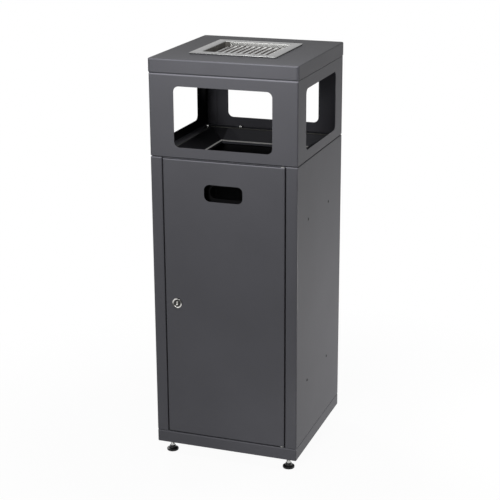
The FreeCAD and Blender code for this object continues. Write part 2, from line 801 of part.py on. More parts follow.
def make_lock():
    """Makes the cam lock: housing, fixing nut, key plug, cam and cam screw."""
    centre = [(LOCK_X, s.lock_height)]
    bore = s.plug_radius + s.running
    barrel_length = CAM_Y - FRONT - s.barrel_gap

    housing = new_body("lock_housing")
    head = sketch(housing, "XZ_Plane", HALF)
    circles(head, centre, s.lock_head_radius)
    grow(housing, head, s.lock_head)
    round_edges(housing, flat_at("Y", FRONT - s.lock_head), s.lock_head * HEAD_ROUND)
    barrel = sketch(housing, "XZ_Plane", HALF)
    circles(barrel, centre, s.lock_barrel_radius)
    grow(housing, barrel, barrel_length, backwards=True)
    hole = sketch(housing, "XZ_Plane", HALF + s.lock_head)
    circles(hole, centre, bore)
    cut(housing, hole, s.lock_head + barrel_length)

    nut = new_body("lock_nut")
    made = sketch(nut, "XZ_Plane", HALF - s.sheet)
    hexagons(made, centre, s.lock_nut_flats)
    circles(made, centre, s.lock_barrel_radius)
    grow(nut, made, s.lock_nut, backwards=True)

    plug = new_body("lock_plug")
    face = HALF + s.lock_head - s.plug_recess
    made = sketch(plug, "XZ_Plane", face)
    circles(made, centre, s.plug_radius)
    grow(plug, made, face + CAM_Y, backwards=True)
    key = sketch(plug, "XZ_Plane", face)
    rounded(key, LOCK_X, s.lock_height, s.key_width, s.key_height, s.key_width * SLOT_END)
    cut(plug, key, s.key_depth)
    drive = sketch(plug, "XZ_Plane", -CAM_Y)
    flat = s.cam_square / 2
    box(drive, LOCK_X - flat, s.lock_height - flat, LOCK_X + flat, s.lock_height + flat)
    grow(plug, drive, s.cam_thickness, backwards=True)
    rear = CAM_Y + s.cam_thickness
    thread = sketch(plug, "XZ_Plane", -rear)
    circles(thread, centre, s.screw_radius)
    cut(plug, thread, s.cam_screw_depth, backwards=True)

    cam = new_body("lock_cam")
    made = sketch(cam, "XZ_Plane", -CAM_Y)
    tall = s.cam_reach + s.cam_width / 2
    middle = s.lock_height - s.cam_reach + tall / 2
    rounded(made, LOCK_X, middle, s.cam_width, tall, s.cam_width * SLOT_END)
    box(made, LOCK_X - flat, s.lock_height - flat, LOCK_X + flat, s.lock_height + flat)
    grow(cam, made, s.cam_thickness, backwards=True)

    screw = new_body("cam_screw")
    made = sketch(screw, "XZ_Plane", -rear)
    circles(made, centre, s.cam_screw_radius)
    grow(screw, made, s.cam_screw_head, backwards=True)
    round_edges(screw, flat_at("Y", rear + s.cam_screw_head), s.cam_screw_head * HEAD_ROUND)
    shank = sketch(screw, "XZ_Plane", -rear)
    circles(shank, centre, s.screw_radius)
    grow(screw, shank, s.cam_screw_depth)


def make_screws(name, spots, seat, nut_seat, heads_up):
    """Makes one set of equal screws and the set of their nuts."""
    screws = new_body(f"{name}_screws")
    shank = sketch(screws, "XY_Plane", seat)
    circles(shank, spots, s.screw_radius)
    grow(screws, shank, s.screw_length, backwards=heads_up)
    head = sketch(screws, "XY_Plane", seat)
    circles(head, spots, s.screw_head_radius)
    grow(screws, head, s.screw_head, backwards=not heads_up)
    outer = seat + s.screw_head if heads_up else seat - s.screw_head
    round_edges(screws, flat_at("Z", outer), s.screw_head * HEAD_ROUND)
    nuts = new_body(f"{name}_nuts")
    made = sketch(nuts, "XY_Plane", nut_seat)
    hexagons(made, spots, s.nut_flats)
    circles(made, spots, s.screw_radius)
    grow(nuts, made, s.nut, backwards=heads_up)


def make_feet():
    """Makes the four levelling feet, their threaded inserts and their lock nuts."""
    shoulder = s.pad_height + s.collar_height
    for name, (x, y) in FEET.items():
        pad = new_body(f"foot_pad_{name}")
        made = sketch(pad, "XZ_Plane")
        polygon(
            made,
            [
                (0, 0),
                (s.pad_radius - s.pad_chamfer, 0),
                (s.pad_radius, s.pad_chamfer),
                *((s.pad_radius * out, s.pad_height * up) for out, up in PAD_OUTLINE),
                (s.spindle_radius, s.pad_height),
                (s.spindle_radius, s.pad_socket),
                (0, s.pad_socket),
            ],
        )
        spin(pad, made)
        spindle = new_body(f"foot_spindle_{name}")
        made = sketch(spindle, "XZ_Plane")
        polygon(
            made,
            [
                (0, s.pad_socket),
                (s.spindle_radius, s.pad_socket),
                (s.spindle_radius, s.pad_height),
                (s.collar_radius, s.pad_height),
                (s.collar_radius, shoulder),
                (s.spindle_radius, shoulder),
                (s.spindle_radius, s.spindle_top - s.spindle_chamfer),
                (s.spindle_radius - s.spindle_chamfer, s.spindle_top),
                (0, s.spindle_top),
            ],
        )
        spin(spindle, made)
        for piece in (pad, spindle):
            piece.setExpression("Placement.Base.x", x.text)
            piece.setExpression("Placement.Base.y", y.text)
    spots = list(FEET.values())
    seat = Z_BASE - s.insert_flange
    inserts = new_body("foot_inserts")
    for start, size, radius in (
        (seat, s.insert_flange, s.insert_flange_radius),
        (Z_BASE, s.insert_length, s.insert_radius),
        (Z_BASE + s.sheet, s.insert_bulge, s.insert_flange_radius),
    ):
        made = sketch(inserts, "XY_Plane", start)
        circles(made, spots, radius)
        grow(inserts, made, size)
    drill(inserts, spots, FOOT_BORE, Z_BASE + s.insert_length, s.insert_length + s.insert_flange)
    nuts = new_body("foot_locknuts")
    made = sketch(nuts, "XY_Plane", seat)
    hexagons(made, spots, s.locknut_flats)
    circles(made, spots, FOOT_BORE)
    grow(nuts, made, s.locknut, backwards=True)


def build():
    """Makes every piece."""
    make_base()
    make_body_shell()
    make_door_stop()
    make_front_rail()
    make_hood()
    make_lid()
    make_chute()
    make_pan()
    make_grate()
    make_liner()
    for side_name, side in (("left", -1), ("right", 1)):
        make_guide(f"guide_{side_name}_lower", side, GUIDE_LOW)
        make_guide(f"guide_{side_name}_upper", side, GUIDE_HIGH)
    make_rivets()
    make_door()
    make_pin("hinge_pin_lower", Z_FLOOR - s.sheet - s.pin_head, DOOR_LOW + s.pin_reach, s.pin_head)
    make_pin("hinge_pin_upper", DOOR_HIGH - s.pin_reach, Z_BODY)
    make_bush("hinge_bush_lower", DOOR_LOW, s.door_gap_bottom - s.air, up=True)
    make_bush("hinge_bush_upper", DOOR_HIGH, s.door_gap_top - s.air, up=False)
    make_buffers()
    make_lock()
    make_screws("hood", THREE_SIDES, Z_HOOD + s.sheet, Z_BODY - s.sheet, heads_up=True)
    make_screws("lid", ALL_SIDES, Z_LID - s.sheet, Z_LID + s.sheet, heads_up=False)
    make_screws("base", THREE_SIDES, Z_FLOOR + s.sheet, Z_FLOOR - s.sheet, heads_up=True)
    make_feet()


def check_and_write():
    """Stops on any broken feature, then writes one file per piece."""
    for item in doc.Objects:
        if "Invalid" in item.State or "Error" in item.State:
            raise RuntimeError(f"{item.Label} is in state {item.State}")
    os.makedirs(PARTS_FOLDER, exist_ok=True)
    for body in bodies:
        if body.Shape.isNull() or not body.Shape.isValid():
            raise RuntimeError(f"{body.Label} has no valid shape")
        body.Shape.exportStep(os.path.join(PARTS_FOLDER, f"{body.Label}.step"))


build()
doc.recompute()
check_and_write()
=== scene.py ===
"""Looks of a free-standing waste bin with an ash pan in its lid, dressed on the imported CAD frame.

Sizes of the pieces are millimetres in the bin's own frame: the floor is at 0, the door faces -Y and
+Z is up. They become metres when a mesh is made. Finishes, lights and the camera are in metres.
"""

import json
import logging
import math
from abc import ABC, abstractmethod
from dataclasses import dataclass, field
from enum import Enum
from typing import NamedTuple, Sequence

import bpy
import numpy as np
from mathutils import Matrix, Vector


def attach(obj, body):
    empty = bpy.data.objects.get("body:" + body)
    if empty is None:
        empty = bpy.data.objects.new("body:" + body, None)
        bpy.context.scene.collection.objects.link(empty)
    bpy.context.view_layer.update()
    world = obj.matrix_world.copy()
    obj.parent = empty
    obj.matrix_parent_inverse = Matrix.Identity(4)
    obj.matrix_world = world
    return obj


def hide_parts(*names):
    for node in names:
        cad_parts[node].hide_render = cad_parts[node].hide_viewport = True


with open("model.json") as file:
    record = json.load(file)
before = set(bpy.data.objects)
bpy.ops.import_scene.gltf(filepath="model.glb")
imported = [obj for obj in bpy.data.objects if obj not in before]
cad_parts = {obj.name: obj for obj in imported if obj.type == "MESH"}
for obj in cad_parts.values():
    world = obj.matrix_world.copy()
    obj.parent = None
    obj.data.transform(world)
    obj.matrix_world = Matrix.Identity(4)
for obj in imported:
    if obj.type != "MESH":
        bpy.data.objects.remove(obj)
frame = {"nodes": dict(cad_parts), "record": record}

LOG = logging.getLogger("waste_bin")
MM = 0.001  # metres in a millimetre
TINY = 1e-9  # keeps a divisor away from nothing
TOUCH = 1e-6  # a point this near to an edge lies on it
SHARP = math.radians(38)  # faces that meet at more than this keep a sharp edge
THREAD_DEPTH = 0.55  # share of the pitch
THREAD_FLAT = 0.1  # how far the wave is cut off at crest and root
LOCK_X, LOCK_Z = -116.4, 390.7  # the lock's axis
FEET = {  # x and y of each levelling foot
    "front_left": (-148.0, -148.0),
    "front_right": (148.0, -148.0),
    "back_left": (-140.0, 140.0),
    "back_right": (140.0, 140.0),
}

Array = np.ndarray
Colour = tuple[float, float, float]
Point = tuple[float, float, float]
Rows = Sequence[Sequence[float | Array]]
Socket = bpy.types.NodeSocket
Inputs = dict[str | int, object]


class Slot(Enum):
    """The record's material slots."""

    POWDER_COAT = "powder_coat"
    STAINLESS = "stainless"
    LINER_BLACK = "liner_black"
    GALVANISED = "galvanised"
    ZINC = "zinc"
    LOCK_CHROME = "lock_chrome"
    RIVET_BLACK = "rivet_black"
    FOOT_PLASTIC = "foot_plastic"
    BUSH_NYLON = "bush_nylon"
    BUFFER_RUBBER = "buffer_rubber"


class Ends(Enum):
    """How a skin of rings ends."""

    CAPPED = "capped"
    JOINED = "joined"


class Facing(Enum):
    """Where a turned piece's own +Z points, as the three rows of its rotation."""

    UP = ((1, 0, 0), (0, 1, 0), (0, 0, 1))
    DOWN = ((1, 0, 0), (0, -1, 0), (0, 0, -1))
    FRONT = ((1, 0, 0), (0, 0, -1), (0, 1, 0))
    BACK = ((1, 0, 0), (0, 0, 1), (0, -1, 0))
    RIGHT = ((0, 0, 1), (0, 1, 0), (-1, 0, 0))
    LEFT = ((0, 0, -1), (0, 1, 0), (1, 0, 0))


@dataclass(frozen=True)
class Surface:
    """Points in millimetres, and the quads and triangles between them."""

    points: Array
    quads: Array
    triangles: Array

    def turned(self, facing: Facing) -> "Surface":
        """Gives the surface turned about the origin."""
        turn = np.array(facing.value, float).T
        return Surface(self.points @ turn, self.quads, self.triangles)

    def repeated(self, spots: Sequence[Point]) -> "Surface":
        """Gives copies of the surface moved to every spot.

        Args:
            spots: One x, y, z for each copy.

        Returns:
            All copies as one surface.
        """
        offsets = np.array(spots, float)
        steps = np.arange(len(offsets))[:, None, None] * len(self.points)
        points = (offsets[:, None, :] + self.points[None]).reshape(-1, 3)
        quads = (self.quads[None] + steps).reshape(-1, 4)
        triangles = (self.triangles[None] + steps).reshape(-1, 3)
        return Surface(points, quads, triangles)

    def outward(self) -> "Surface":
        """Turns the faces to the outside, which is where the signed volume is positive.

        Returns:
            The surface as it is, or with every face reversed.
        """
        halves = [self.quads[:, [0, 1, 2]], self.quads[:, [0, 2, 3]], self.triangles]
        fans = np.concatenate(halves)
        a, b, c = (self.points[fans[:, i]] for i in range(3))
        if np.einsum("ij,ij->", a, np.cross(b, c)) >= 0:
            return self
        return Surface(self.points, self.quads[:, ::-1], self.triangles[:, ::-1])


def joined(parts: Sequence[Surface]) -> Surface:
    """Gives several surfaces as one.

    Args:
        parts: The surfaces.

    Returns:
        Their points and faces in one surface.
    """
    starts = np.cumsum([0] + [len(p.points) for p in parts[:-1]])
    return Surface(
        np.concatenate([p.points for p in parts]),
        np.concatenate([p.quads + s for p, s in zip(parts, starts)]),
        np.concatenate([p.triangles + s for p, s in zip(parts, starts)]),
    )


def loft(rings: Array, ends: Ends) -> Surface:
    """Skins a row of rings: a quad joins points i and i + 1 of rings k and k + 1.

    Args:
        rings: Points, shaped (rings, points around, 3).
        ends: CAPPED closes each end with a fan about the end ring's mean, JOINED leads the last
            ring to the first.

    Returns:
        A closed surface that faces outwards.
    """
    count, around, _ = rings.shape
    index = np.arange(count * around).reshape(count, around)
    ahead = np.roll(index, -1, axis=1)
    if ends is Ends.JOINED:
        after, after_ahead = np.roll(index, -1, axis=0), np.roll(ahead, -1, axis=0)
    else:
        index, after = index[:-1], index[1:]
        ahead, after_ahead = ahead[:-1], ahead[1:]
    quads = np.stack([index, ahead, after_ahead, after], -1).reshape(-1, 4)
    points = rings.reshape(-1, 3)
    triangles = np.zeros((0, 3), int)
    if ends is Ends.CAPPED:
        first, last = np.arange(around), np.arange(around) + (count - 1) * around
        low = np.stack([np.roll(first, -1), first, np.full(around, len(points))], -1)
        high = np.stack([last, np.roll(last, -1), np.full(around, len(points) + 1)], -1)
        triangles = np.concatenate([low, high])
        points = np.concatenate([points, rings[:1].mean(1), rings[-1:].mean(1)])
    return Surface(points, quads, triangles).outward()


def turns(count: int) -> Array:
    """Gives evenly spaced angles of one full turn."""
    return np.arange(count) * (2 * np.pi / count)


def hexagon(angles: Array, flats: float) -> Array:
    """Gives a hexagon's radius: half its flats over the cosine to the nearest flat's middle."""
    return flats / 2 / np.cos(np.mod(angles, np.pi / 3) - np.pi / 6)


def slot_radius(angles: Array, width: float, height: float, corner: float) -> Array:
    """Gives a rounded rectangle's radius: where each ray meets a side or a corner's circle.

    Args:
        angles: Angles of the rays.
        width: Size along X.
        height: Size along Y.
        corner: Radius of the corners.

    Returns:
        The distance from the middle to the outline along every ray.
    """
    x, y = np.abs(np.cos(angles)), np.abs(np.sin(angles))
    side = np.minimum(width / 2 / np.maximum(x, TINY), height / 2 / np.maximum(y, TINY))
    centre = np.array([width / 2 - corner, height / 2 - corner])
    along = x * centre[0] + y * centre[1]
    round_part = along + np.sqrt(np.maximum(corner**2 - centre @ centre + along**2, 0))
    in_corner = (side * x > centre[0]) & (side * y > centre[1])
    return np.where(in_corner, round_part, side)


def about_axis(rows: Rows, angles: Array) -> Array:
    """Gives the rings of a piece about +Z: point (r cos a, r sin a, z) for every ring and angle.

    Args:
        rows: Radius and height of each ring: a number, one for each angle, or several rings' own.
        angles: Angles around.

    Returns:
        Points, shaped (rings, angles, 3).
    """
    even = np.ones(len(angles))
    r, z = (np.concatenate([np.atleast_2d(row[i] * even) for row in rows]) for i in (0, 1))
    return np.stack([r * np.cos(angles), r * np.sin(angles), z], -1)


def lathe(profile: Rows, steps: int, ends: Ends = Ends.CAPPED) -> Surface:
    """Turns a profile of radius and height, none of it on the axis, about +Z."""
    return loft(about_axis(profile, turns(steps)), ends)


def arc(
    centre: Sequence[float], radius: float, start: float, stop: float, steps: int = 6
) -> list[tuple[float, float]]:
    """Gives points on a circle's arc from one angle in degrees to another."""
    angles = np.radians(np.linspace(start, stop, steps))
    return list(zip(centre[0] + radius * np.cos(angles), centre[1] + radius * np.sin(angles)))


def thread(
    low: float, high: float, crest: float, pitch: float, angles: Array, per_turn: int = 8
) -> tuple[Array, Array]:
    """Works out a screw thread: the radius is a triangle wave of height over pitch less turn.

    The wave's depth grows from nothing over the first pitch and shrinks again over the last.

    Args:
        low: Where the thread starts.
        high: Where it ends.
        crest: Its outer radius.
        pitch: Rise of one turn.
        angles: Angles around.
        per_turn: Rings in one pitch.

    Returns:
        Radii and heights, both shaped (rings, angles).
    """
    rows = np.linspace(low, high, int((high - low) / pitch * per_turn) + 1)[:, None]
    wave = np.abs(np.mod(rows / pitch - angles / (2 * np.pi), 1.0) * 2 - 1)
    cut = np.clip(wave * (1 + 2 * THREAD_FLAT) - THREAD_FLAT, 0, 1)
    run_out = np.clip(np.minimum(rows - low, high - rows) / pitch, 0, 1)
    radii = crest - THREAD_DEPTH * pitch * cut * run_out
    return radii, np.broadcast_to(rows, radii.shape)


def rounded_loop(width: float, depth: float, corner: float, steps: int) -> Array:
    """Gives a rounded rectangle as four quarter circles with straight runs between them.

    Args:
        width: Size along X.
        depth: Size along Y.
        corner: Radius of the corners.
        steps: Points on each corner.

    Returns:
        Points around the middle, shaped (4 x steps, 2).
    """
    angles = np.linspace(0, np.pi / 2, steps)[None] + np.arange(4)[:, None] * np.pi / 2
    quarters = np.array([(1, 1), (-1, 1), (-1, -1), (1, -1)])
    centres = quarters * (np.array([width, depth]) / 2 - corner)
    arcs = corner * np.stack([np.cos(angles), np.sin(angles)], -1)
    return (centres[:, None, :] + arcs).reshape(-1, 2)


def folded(outline: Sequence[Sequence[float]], steps: int, ends: Ends) -> Surface:
    """Carries a profile around a rounded rectangle, which has its own size at every ring.

    Args:
        outline: Width, depth, corner radius and height of each ring.
        steps: Points on each corner.
        ends: How the skin ends.

    Returns:
        The folded surface.
    """
    flat = np.array([rounded_loop(w, d, c, steps) for w, d, c, _ in outline])
    heights = np.array([ring[3] for ring in outline], float)[:, None, None]
    levels = np.broadcast_to(heights, flat.shape[:2] + (1,))
    return loft(np.concatenate([flat, levels], -1), ends)


class Nodes:
    """A node tree, with a short way to add nodes and join them."""

    def __init__(self, tree: bpy.types.NodeTree) -> None:
        """Keeps the tree."""
        self.tree = tree

    def node(self, kind: str, values: Inputs, **settings: object) -> bpy.types.Node:
        """Adds a node.

        Args:
            kind: The node's type after ShaderNode.
            values: What goes into its inputs: a socket is linked, anything else is set.
            settings: The node's own settings.

        Returns:
            The new node.
        """
        made = self.tree.nodes.new(f"ShaderNode{kind}")
        for name, value in settings.items():
            setattr(made, name, value)
        self.fill(made, values)
        return made

    def fill(self, node: bpy.types.Node, values: Inputs) -> None:
        """Links or sets a node's inputs.

        Args:
            node: The node.
            values: Inputs by name or place.
        """
        for name, value in values.items():
            if isinstance(value, Socket):
                self.tree.links.new(value, node.inputs[name])
            else:
                node.inputs[name].default_value = value

    def spread(
        self, value: Socket, low: float, high: float, start: float = 0.3, stop: float = 0.7
    ) -> Socket:
        """Maps a value from start to stop, a noise's usual range, onto low to high."""
        ends = {"From Min": start, "From Max": stop, "To Min": low, "To Max": high}
        return self.node("MapRange", {"Value": value} | ends).outputs["Result"]

    def math(self, operation: str, first: float | Socket, second: float | Socket) -> Socket:
        """Works out a value from two others."""
        return self.node("Math", {0: first, 1: second}, operation=operation).outputs[0]


class Sheet(Nodes):
    """One material's node tree on the object's own coordinates."""

    def __init__(self, name: str) -> None:
        """Starts an empty material with a principled shader.

        Args:
            name: The material's name.
        """
        self.material = bpy.data.materials.new(name)
        self.material.use_nodes = True
        super().__init__(self.material.node_tree)
        self.tree.nodes.clear()
        self.output = self.node("OutputMaterial", {})
        self.shader = self.node("BsdfPrincipled", {})
        self.fill(self.output, {"Surface": self.shader.outputs[0]})
        self.coordinates = self.node("TexCoord", {}).outputs["Object"]

    def noise(
        self, scale: float, detail: float = 2.0, rough: float = 0.5, where: Socket | None = None
    ) -> Socket:
        """Adds noise with so many features in a metre, on other coordinates if they are given."""
        values = {"Vector": where or self.coordinates, "Scale": scale, "Detail": detail}
        return self.node("TexNoise", values | {"Roughness": rough}).outputs["Fac"]

    def blend(self, factor: Socket, first: Colour | Socket, second: Colour | Socket) -> Socket:
        """Mixes two colours.

        Args:
            factor: How much of the second.
            first: A colour or a socket.
            second: A colour or a socket.

        Returns:
            The mixed colour.
        """
        made = self.node("Mix", {}, data_type="RGBA")
        sides = [c if isinstance(c, Socket) else (*c, 1.0) for c in (first, second)]
        self.fill(made, {0: factor, 6: sides[0], 7: sides[1]})
        return made.outputs[2]

    def stretched(self, scale: Point) -> Socket:
        """Gives the object's coordinates with a scale of their own on each axis."""
        values = {"Vector": self.coordinates, "Scale": scale}
        return self.node("Mapping", values).outputs["Vector"]

    def bump(self, height: Socket, depth: float, strength: float) -> Socket:
        """Bends the normal by a pattern with a depth in metres, as far as strength lets it show."""
        values = {"Height": height, "Distance": depth, "Strength": strength}
        return self.node("Bump", values).outputs["Normal"]

    def moved(self, vector: Socket, back: Sequence[float]) -> Socket:
        """Takes a constant from a vector."""
        return self.node("VectorMath", {0: vector, 1: back}, operation="SUBTRACT").outputs[0]

    def parts(self, vector: Socket) -> tuple[Socket, Socket, Socket]:
        """Gives a vector's three values."""
        return tuple(self.node("SeparateXYZ", {0: vector}).outputs)


def shade(colour: Colour, share: float) -> Colour:
    """Gives a colour made lighter or darker by a share."""
    return tuple(min(channel * share, 1.0) for channel in colour)


@dataclass(frozen=True)
class Zone:
    """A box in a piece's own coordinates where a finish differs; its border is soft."""

    low: Point
    high: Point
    share: float = 1.0
    soft: float = 0.0004

    def mask(self, sheet: Sheet) -> Socket:
        """Adds a mask: the farthest distance past the box's sides, taken to 0 over the border.

        Args:
            sheet: The material.

        Returns:
            1 inside the box and 0 outside.
        """
        low, high = np.array(self.low), np.array(self.high)
        offset = sheet.moved(sheet.coordinates, ((low + high) / 2).tolist())
        apart = sheet.node("VectorMath", {0: offset}, operation="ABSOLUTE").outputs[0]
        x, y, z = sheet.parts(sheet.moved(apart, ((high - low) / 2).tolist()))
        farthest = sheet.math("MAXIMUM", sheet.math("MAXIMUM", x, y), z)
        return sheet.spread(farthest, 1.0, 0.0, -self.soft, self.soft)


def any_zone(zones: Sequence[Zone], sheet: Sheet) -> Socket:
    """Adds the mask of several zones together.

    Args:
        zones: At least one zone.
        sheet: The material.

    Returns:
        1 where any zone is, 0 elsewhere.
    """
    total = zones[0].mask(sheet)
    for zone in zones[1:]:
        total = sheet.math("MAXIMUM", total, zone.mask(sheet))
    return total


@dataclass(frozen=True)
class Finish(ABC):
    """A finish of one slot: its colour and its mean roughness."""

    slot: Slot
    colour: Colour
    roughness: float
    title: str = ""

    def material(self) -> bpy.types.Material:
        """Builds the finish as a material.

        Returns:
            The material.
        """
        sheet = Sheet(self.title or self.slot.value)
        self.paint(sheet)
        return sheet.material

    def tones(self, sheet: Sheet, pattern: Socket, dark: float, light: float) -> Socket:
        """Mixes between a darker and a lighter share of the colour by a noise."""
        sides = shade(self.colour, dark), shade(self.colour, light)
        return sheet.blend(sheet.spread(pattern, 0.0, 1.0), *sides)

    def uneven(self, sheet: Sheet, pattern: Socket, less: float, more: float) -> Socket:
        """Gives a roughness that a noise takes below and above its mean."""
        return sheet.spread(pattern, self.roughness - less, self.roughness + more)

    @abstractmethod
    def paint(self, sheet: Sheet) -> None:
        """Adds the finish's nodes to an empty material."""


@dataclass(frozen=True)
class PowderCoat(Finish):
    """Baked powder: fine orange peel under a thin clear gloss, a drift of tone and finer flecks.

    Painted shade zones are darker by their share and dull, painted highlight zones on the bends are
    lighter by theirs, and edge zones take a colour and metalness of their own.
    """

    gloss: float = 0.35
    gloss_roughness: float = 0.35
    peel: float = 0.12
    peel_depth: float = 0.00012
    peel_scale: float = 950.0
    drift: float = 0.05
    drift_scale: float = 7.0
    fleck_share: float = 1.35
    fleck_scale: float = 2600.0
    # painted shade zones are darker and dull; painted highlight zones are lighter bands on bends
    painted_shade: tuple[Zone, ...] = ()
    painted_highlights: tuple[Zone, ...] = ()
    # the default edge colour is a lighter band, a painted highlight on cut edges
    edges: tuple[Zone, ...] = ()
    edge_colour: Colour = (0.11, 0.11, 0.095)
    edge_metal: float = 0.0

    def paint(self, sheet: Sheet) -> None:
        """Adds the coat's nodes.

        Args:
            sheet: The material.
        """
        drift = sheet.noise(self.drift_scale, 3.0)
        fleck = sheet.spread(sheet.noise(self.fleck_scale, 1.0), 0.0, 0.35, 0.55, 0.75)
        peel = sheet.bump(sheet.noise(self.peel_scale), self.peel_depth, self.peel)
        tone = self.tones(sheet, drift, 1 - self.drift, 1 + self.drift)
        colour = sheet.blend(fleck, tone, shade(self.colour, self.fleck_share))
        gloss, metal = self.gloss, 0.0
        # painted shade and painted highlights: each zone tints the coat by its share
        for zone in self.painted_shade + self.painted_highlights:
            colour = sheet.blend(zone.mask(sheet), colour, shade(self.colour, zone.share))
        if self.painted_shade:
            gloss = sheet.spread(any_zone(self.painted_shade, sheet), self.gloss, 0.0, 0.0, 1.0)
        if self.edges:
            edge = any_zone(self.edges, sheet)
            colour = sheet.blend(edge, colour, self.edge_colour)
            metal = sheet.spread(edge, 0.0, self.edge_metal, 0.0, 1.0)
        values = {"Base Color": colour, "Metallic": metal, "Normal": peel}
        values |= {"Roughness": self.uneven(sheet, drift, 0.03, 0.03), "Specular IOR Level": 0.0}
        values |= {"Coat Weight": gloss, "Coat Roughness": self.gloss_roughness}
        sheet.fill(sheet.shader, values)


@dataclass(frozen=True)
class BrushedSteel(Finish):
    """Brushed stainless steel: fine lines along X, faint clouds, a few deeper scratches, and sooty
    dirt with painted shade.

    Painted sheen zones are brighter: light painted on them.
    """

    brush: Point = (25.0, 2600.0, 2600.0)
    brush_depth: float = 0.00006
    brush_strength: float = 0.12
    scratch: Point = (60.0, 420.0, 420.0)
    cloud_scale: float = 38.0
    # sooty dirt with painted shade: zones painted dark where little light falls
    soot_and_shade: tuple[Zone, ...] = ()
    soot_and_shade_colour: Colour = (0.055, 0.052, 0.047)
    soot_and_shade_roughness: float = 0.75
    soot_and_shade_metal: float = 0.15
    edge_tint: Colour = (0.70, 0.70, 0.70)
    # painted sheen: zones painted brighter than the steel, as light
    painted_sheen: tuple[Zone, ...] = ()
    painted_sheen_colour: Colour = (0.43, 0.43, 0.42)

    def soot_and_shade_mask(self, sheet: Sheet) -> Socket:
        """Gives 1 where sooty dirt and painted shade lie and 0 elsewhere."""
        return any_zone(self.soot_and_shade, sheet)

    def paint(self, sheet: Sheet) -> None:
        """Adds the steel's nodes.

        Args:
            sheet: The material.
        """
        lines = sheet.noise(1.0, 3.0, 0.6, sheet.stretched(self.brush))
        clouds = sheet.noise(self.cloud_scale, 3.0)
        scratch = sheet.noise(1.0, 0.0, 0.5, sheet.stretched(self.scratch))
        scratched = sheet.spread(scratch, 0.0, 0.5, 0.7, 0.78)
        tone = self.tones(sheet, lines, 0.86, 1.1)
        dull = sheet.blend(sheet.spread(clouds, 0.0, 0.35), tone, shade(self.colour, 0.8))
        colour = sheet.blend(scratched, dull, shade(self.colour, 1.2))
        rough, metal = self.uneven(sheet, lines, 0.07, 0.08), 1.0
        # painted sheen: brighter where light is painted
        if self.painted_sheen:
            colour = sheet.blend(any_zone(self.painted_sheen, sheet), colour, self.painted_sheen_colour)
        # sooty dirt with painted shade: darker, rougher and less metallic
        if self.soot_and_shade:
            soot_and_shade_mask = self.soot_and_shade_mask(sheet)
            ash = self.soot_and_shade_colour, shade(self.soot_and_shade_colour, 2.2)
            colour = sheet.blend(soot_and_shade_mask, colour, sheet.blend(sheet.spread(clouds, 0.0, 1.0), *ash))
            dusty = sheet.spread(soot_and_shade_mask, 0.0, self.soot_and_shade_roughness, 0.0, 1.0)
            rough = sheet.math("MAXIMUM", rough, dusty)
            metal = sheet.spread(soot_and_shade_mask, 1.0, self.soot_and_shade_metal, 0.0, 1.0)
        values = {"Base Color": colour, "Roughness": rough, "Metallic": metal}
        values |= {"Normal": sheet.bump(lines, self.brush_depth, self.brush_strength)}
        sheet.fill(sheet.shader, values | {"Specular Tint": (*self.edge_tint, 1.0)})


@dataclass(frozen=True)
class GrateSteel(BrushedSteel):
    """Steel of the grate: its plate is darkened along each column of holes, partly sooty where
    butts go out and partly painted shade.
    """

    # stripes of sooty dirt and painted shade along the columns of holes, fading towards the back
    darkened_until: float = 0.0950
    fade: float = 0.0120
    column: float = 0.0069
    pitch: float = 0.0143
    reach: float = 0.0037
    soft: float = 0.0018
    depth: float = 0.8

    def soot_and_shade_mask(self, sheet: Sheet) -> Socket:
        """Gives where sooty dirt and painted shade lie: in the holes, and near the middle line of
        each column, as a distance that runs up and down once in a pitch shows.

        Args:
            sheet: The material.

        Returns:
            1 where sooty dirt and painted shade lie and 0 elsewhere.
        """
        x, y, _ = sheet.parts(sheet.coordinates)
        apart = sheet.math("PINGPONG", sheet.math("SUBTRACT", x, self.column), self.pitch / 2)
        near, far = self.reach - self.soft, self.reach + self.soft
        stripe = sheet.spread(apart, self.depth, 0.0, near, far)
        front = sheet.spread(y, 1.0, 0.0, self.darkened_until - self.fade, self.darkened_until + self.fade)
        return sheet.math("MAXIMUM", super().soot_and_shade_mask(sheet), sheet.math("MULTIPLY", stripe, front))


@dataclass(frozen=True)
class Galvanised(Finish):
    """Hot-dip zinc on sheet: flat crystals of about a centimetre, each with its own tone."""

    crystal_scale: float = 95.0
    cloud_scale: float = 160.0

    def paint(self, sheet: Sheet) -> None:
        """Adds the zinc's nodes.

        Args:
            sheet: The material.
        """
        clouds = sheet.spread(sheet.noise(self.cloud_scale), 0.0, 0.3)
        cells = {"Vector": sheet.coordinates, "Scale": self.crystal_scale}
        crystal = sheet.node("TexVoronoi", cells).outputs["Color"]
        tones = sheet.node("SeparateColor", {"Color": crystal}).outputs
        tone = sheet.blend(tones[0], shade(self.colour, 0.78), shade(self.colour, 1.18))
        colour = sheet.blend(clouds, tone, shade(self.colour, 0.9))
        dullest = self.roughness + 0.12
        rough = sheet.spread(tones[1], self.roughness - 0.1, dullest, 0.0, 1.0)
        sheet.fill(sheet.shader, {"Base Color": colour, "Roughness": rough, "Metallic": 1.0})


@dataclass(frozen=True)
class Plated(Finish):
    """Bright plating on small parts: fine polishing marks, and dull spots from hands and tools."""

    marks: float = 0.25
    mark_depth: float = 0.00004
    polish: Point = (400.0, 400.0, 2600.0)
    cloud_scale: float = 240.0

    def tone(self, sheet: Sheet, clouds: Socket) -> Socket:
        """Gives the plating's colour, which is a little uneven."""
        return self.tones(sheet, clouds, 0.85, 1.1)

    def paint(self, sheet: Sheet) -> None:
        """Adds the plating's nodes.

        Args:
            sheet: The material.
        """
        clouds = sheet.noise(self.cloud_scale, 3.0)
        marks = sheet.noise(1.0, 2.0, 0.6, sheet.stretched(self.polish))
        values = {"Base Color": self.tone(sheet, clouds), "Metallic": 1.0}
        values |= {"Roughness": self.uneven(sheet, clouds, 0.06, 0.1)}
        values |= {"Normal": sheet.bump(marks, self.mark_depth, self.marks)}
        sheet.fill(sheet.shader, values)


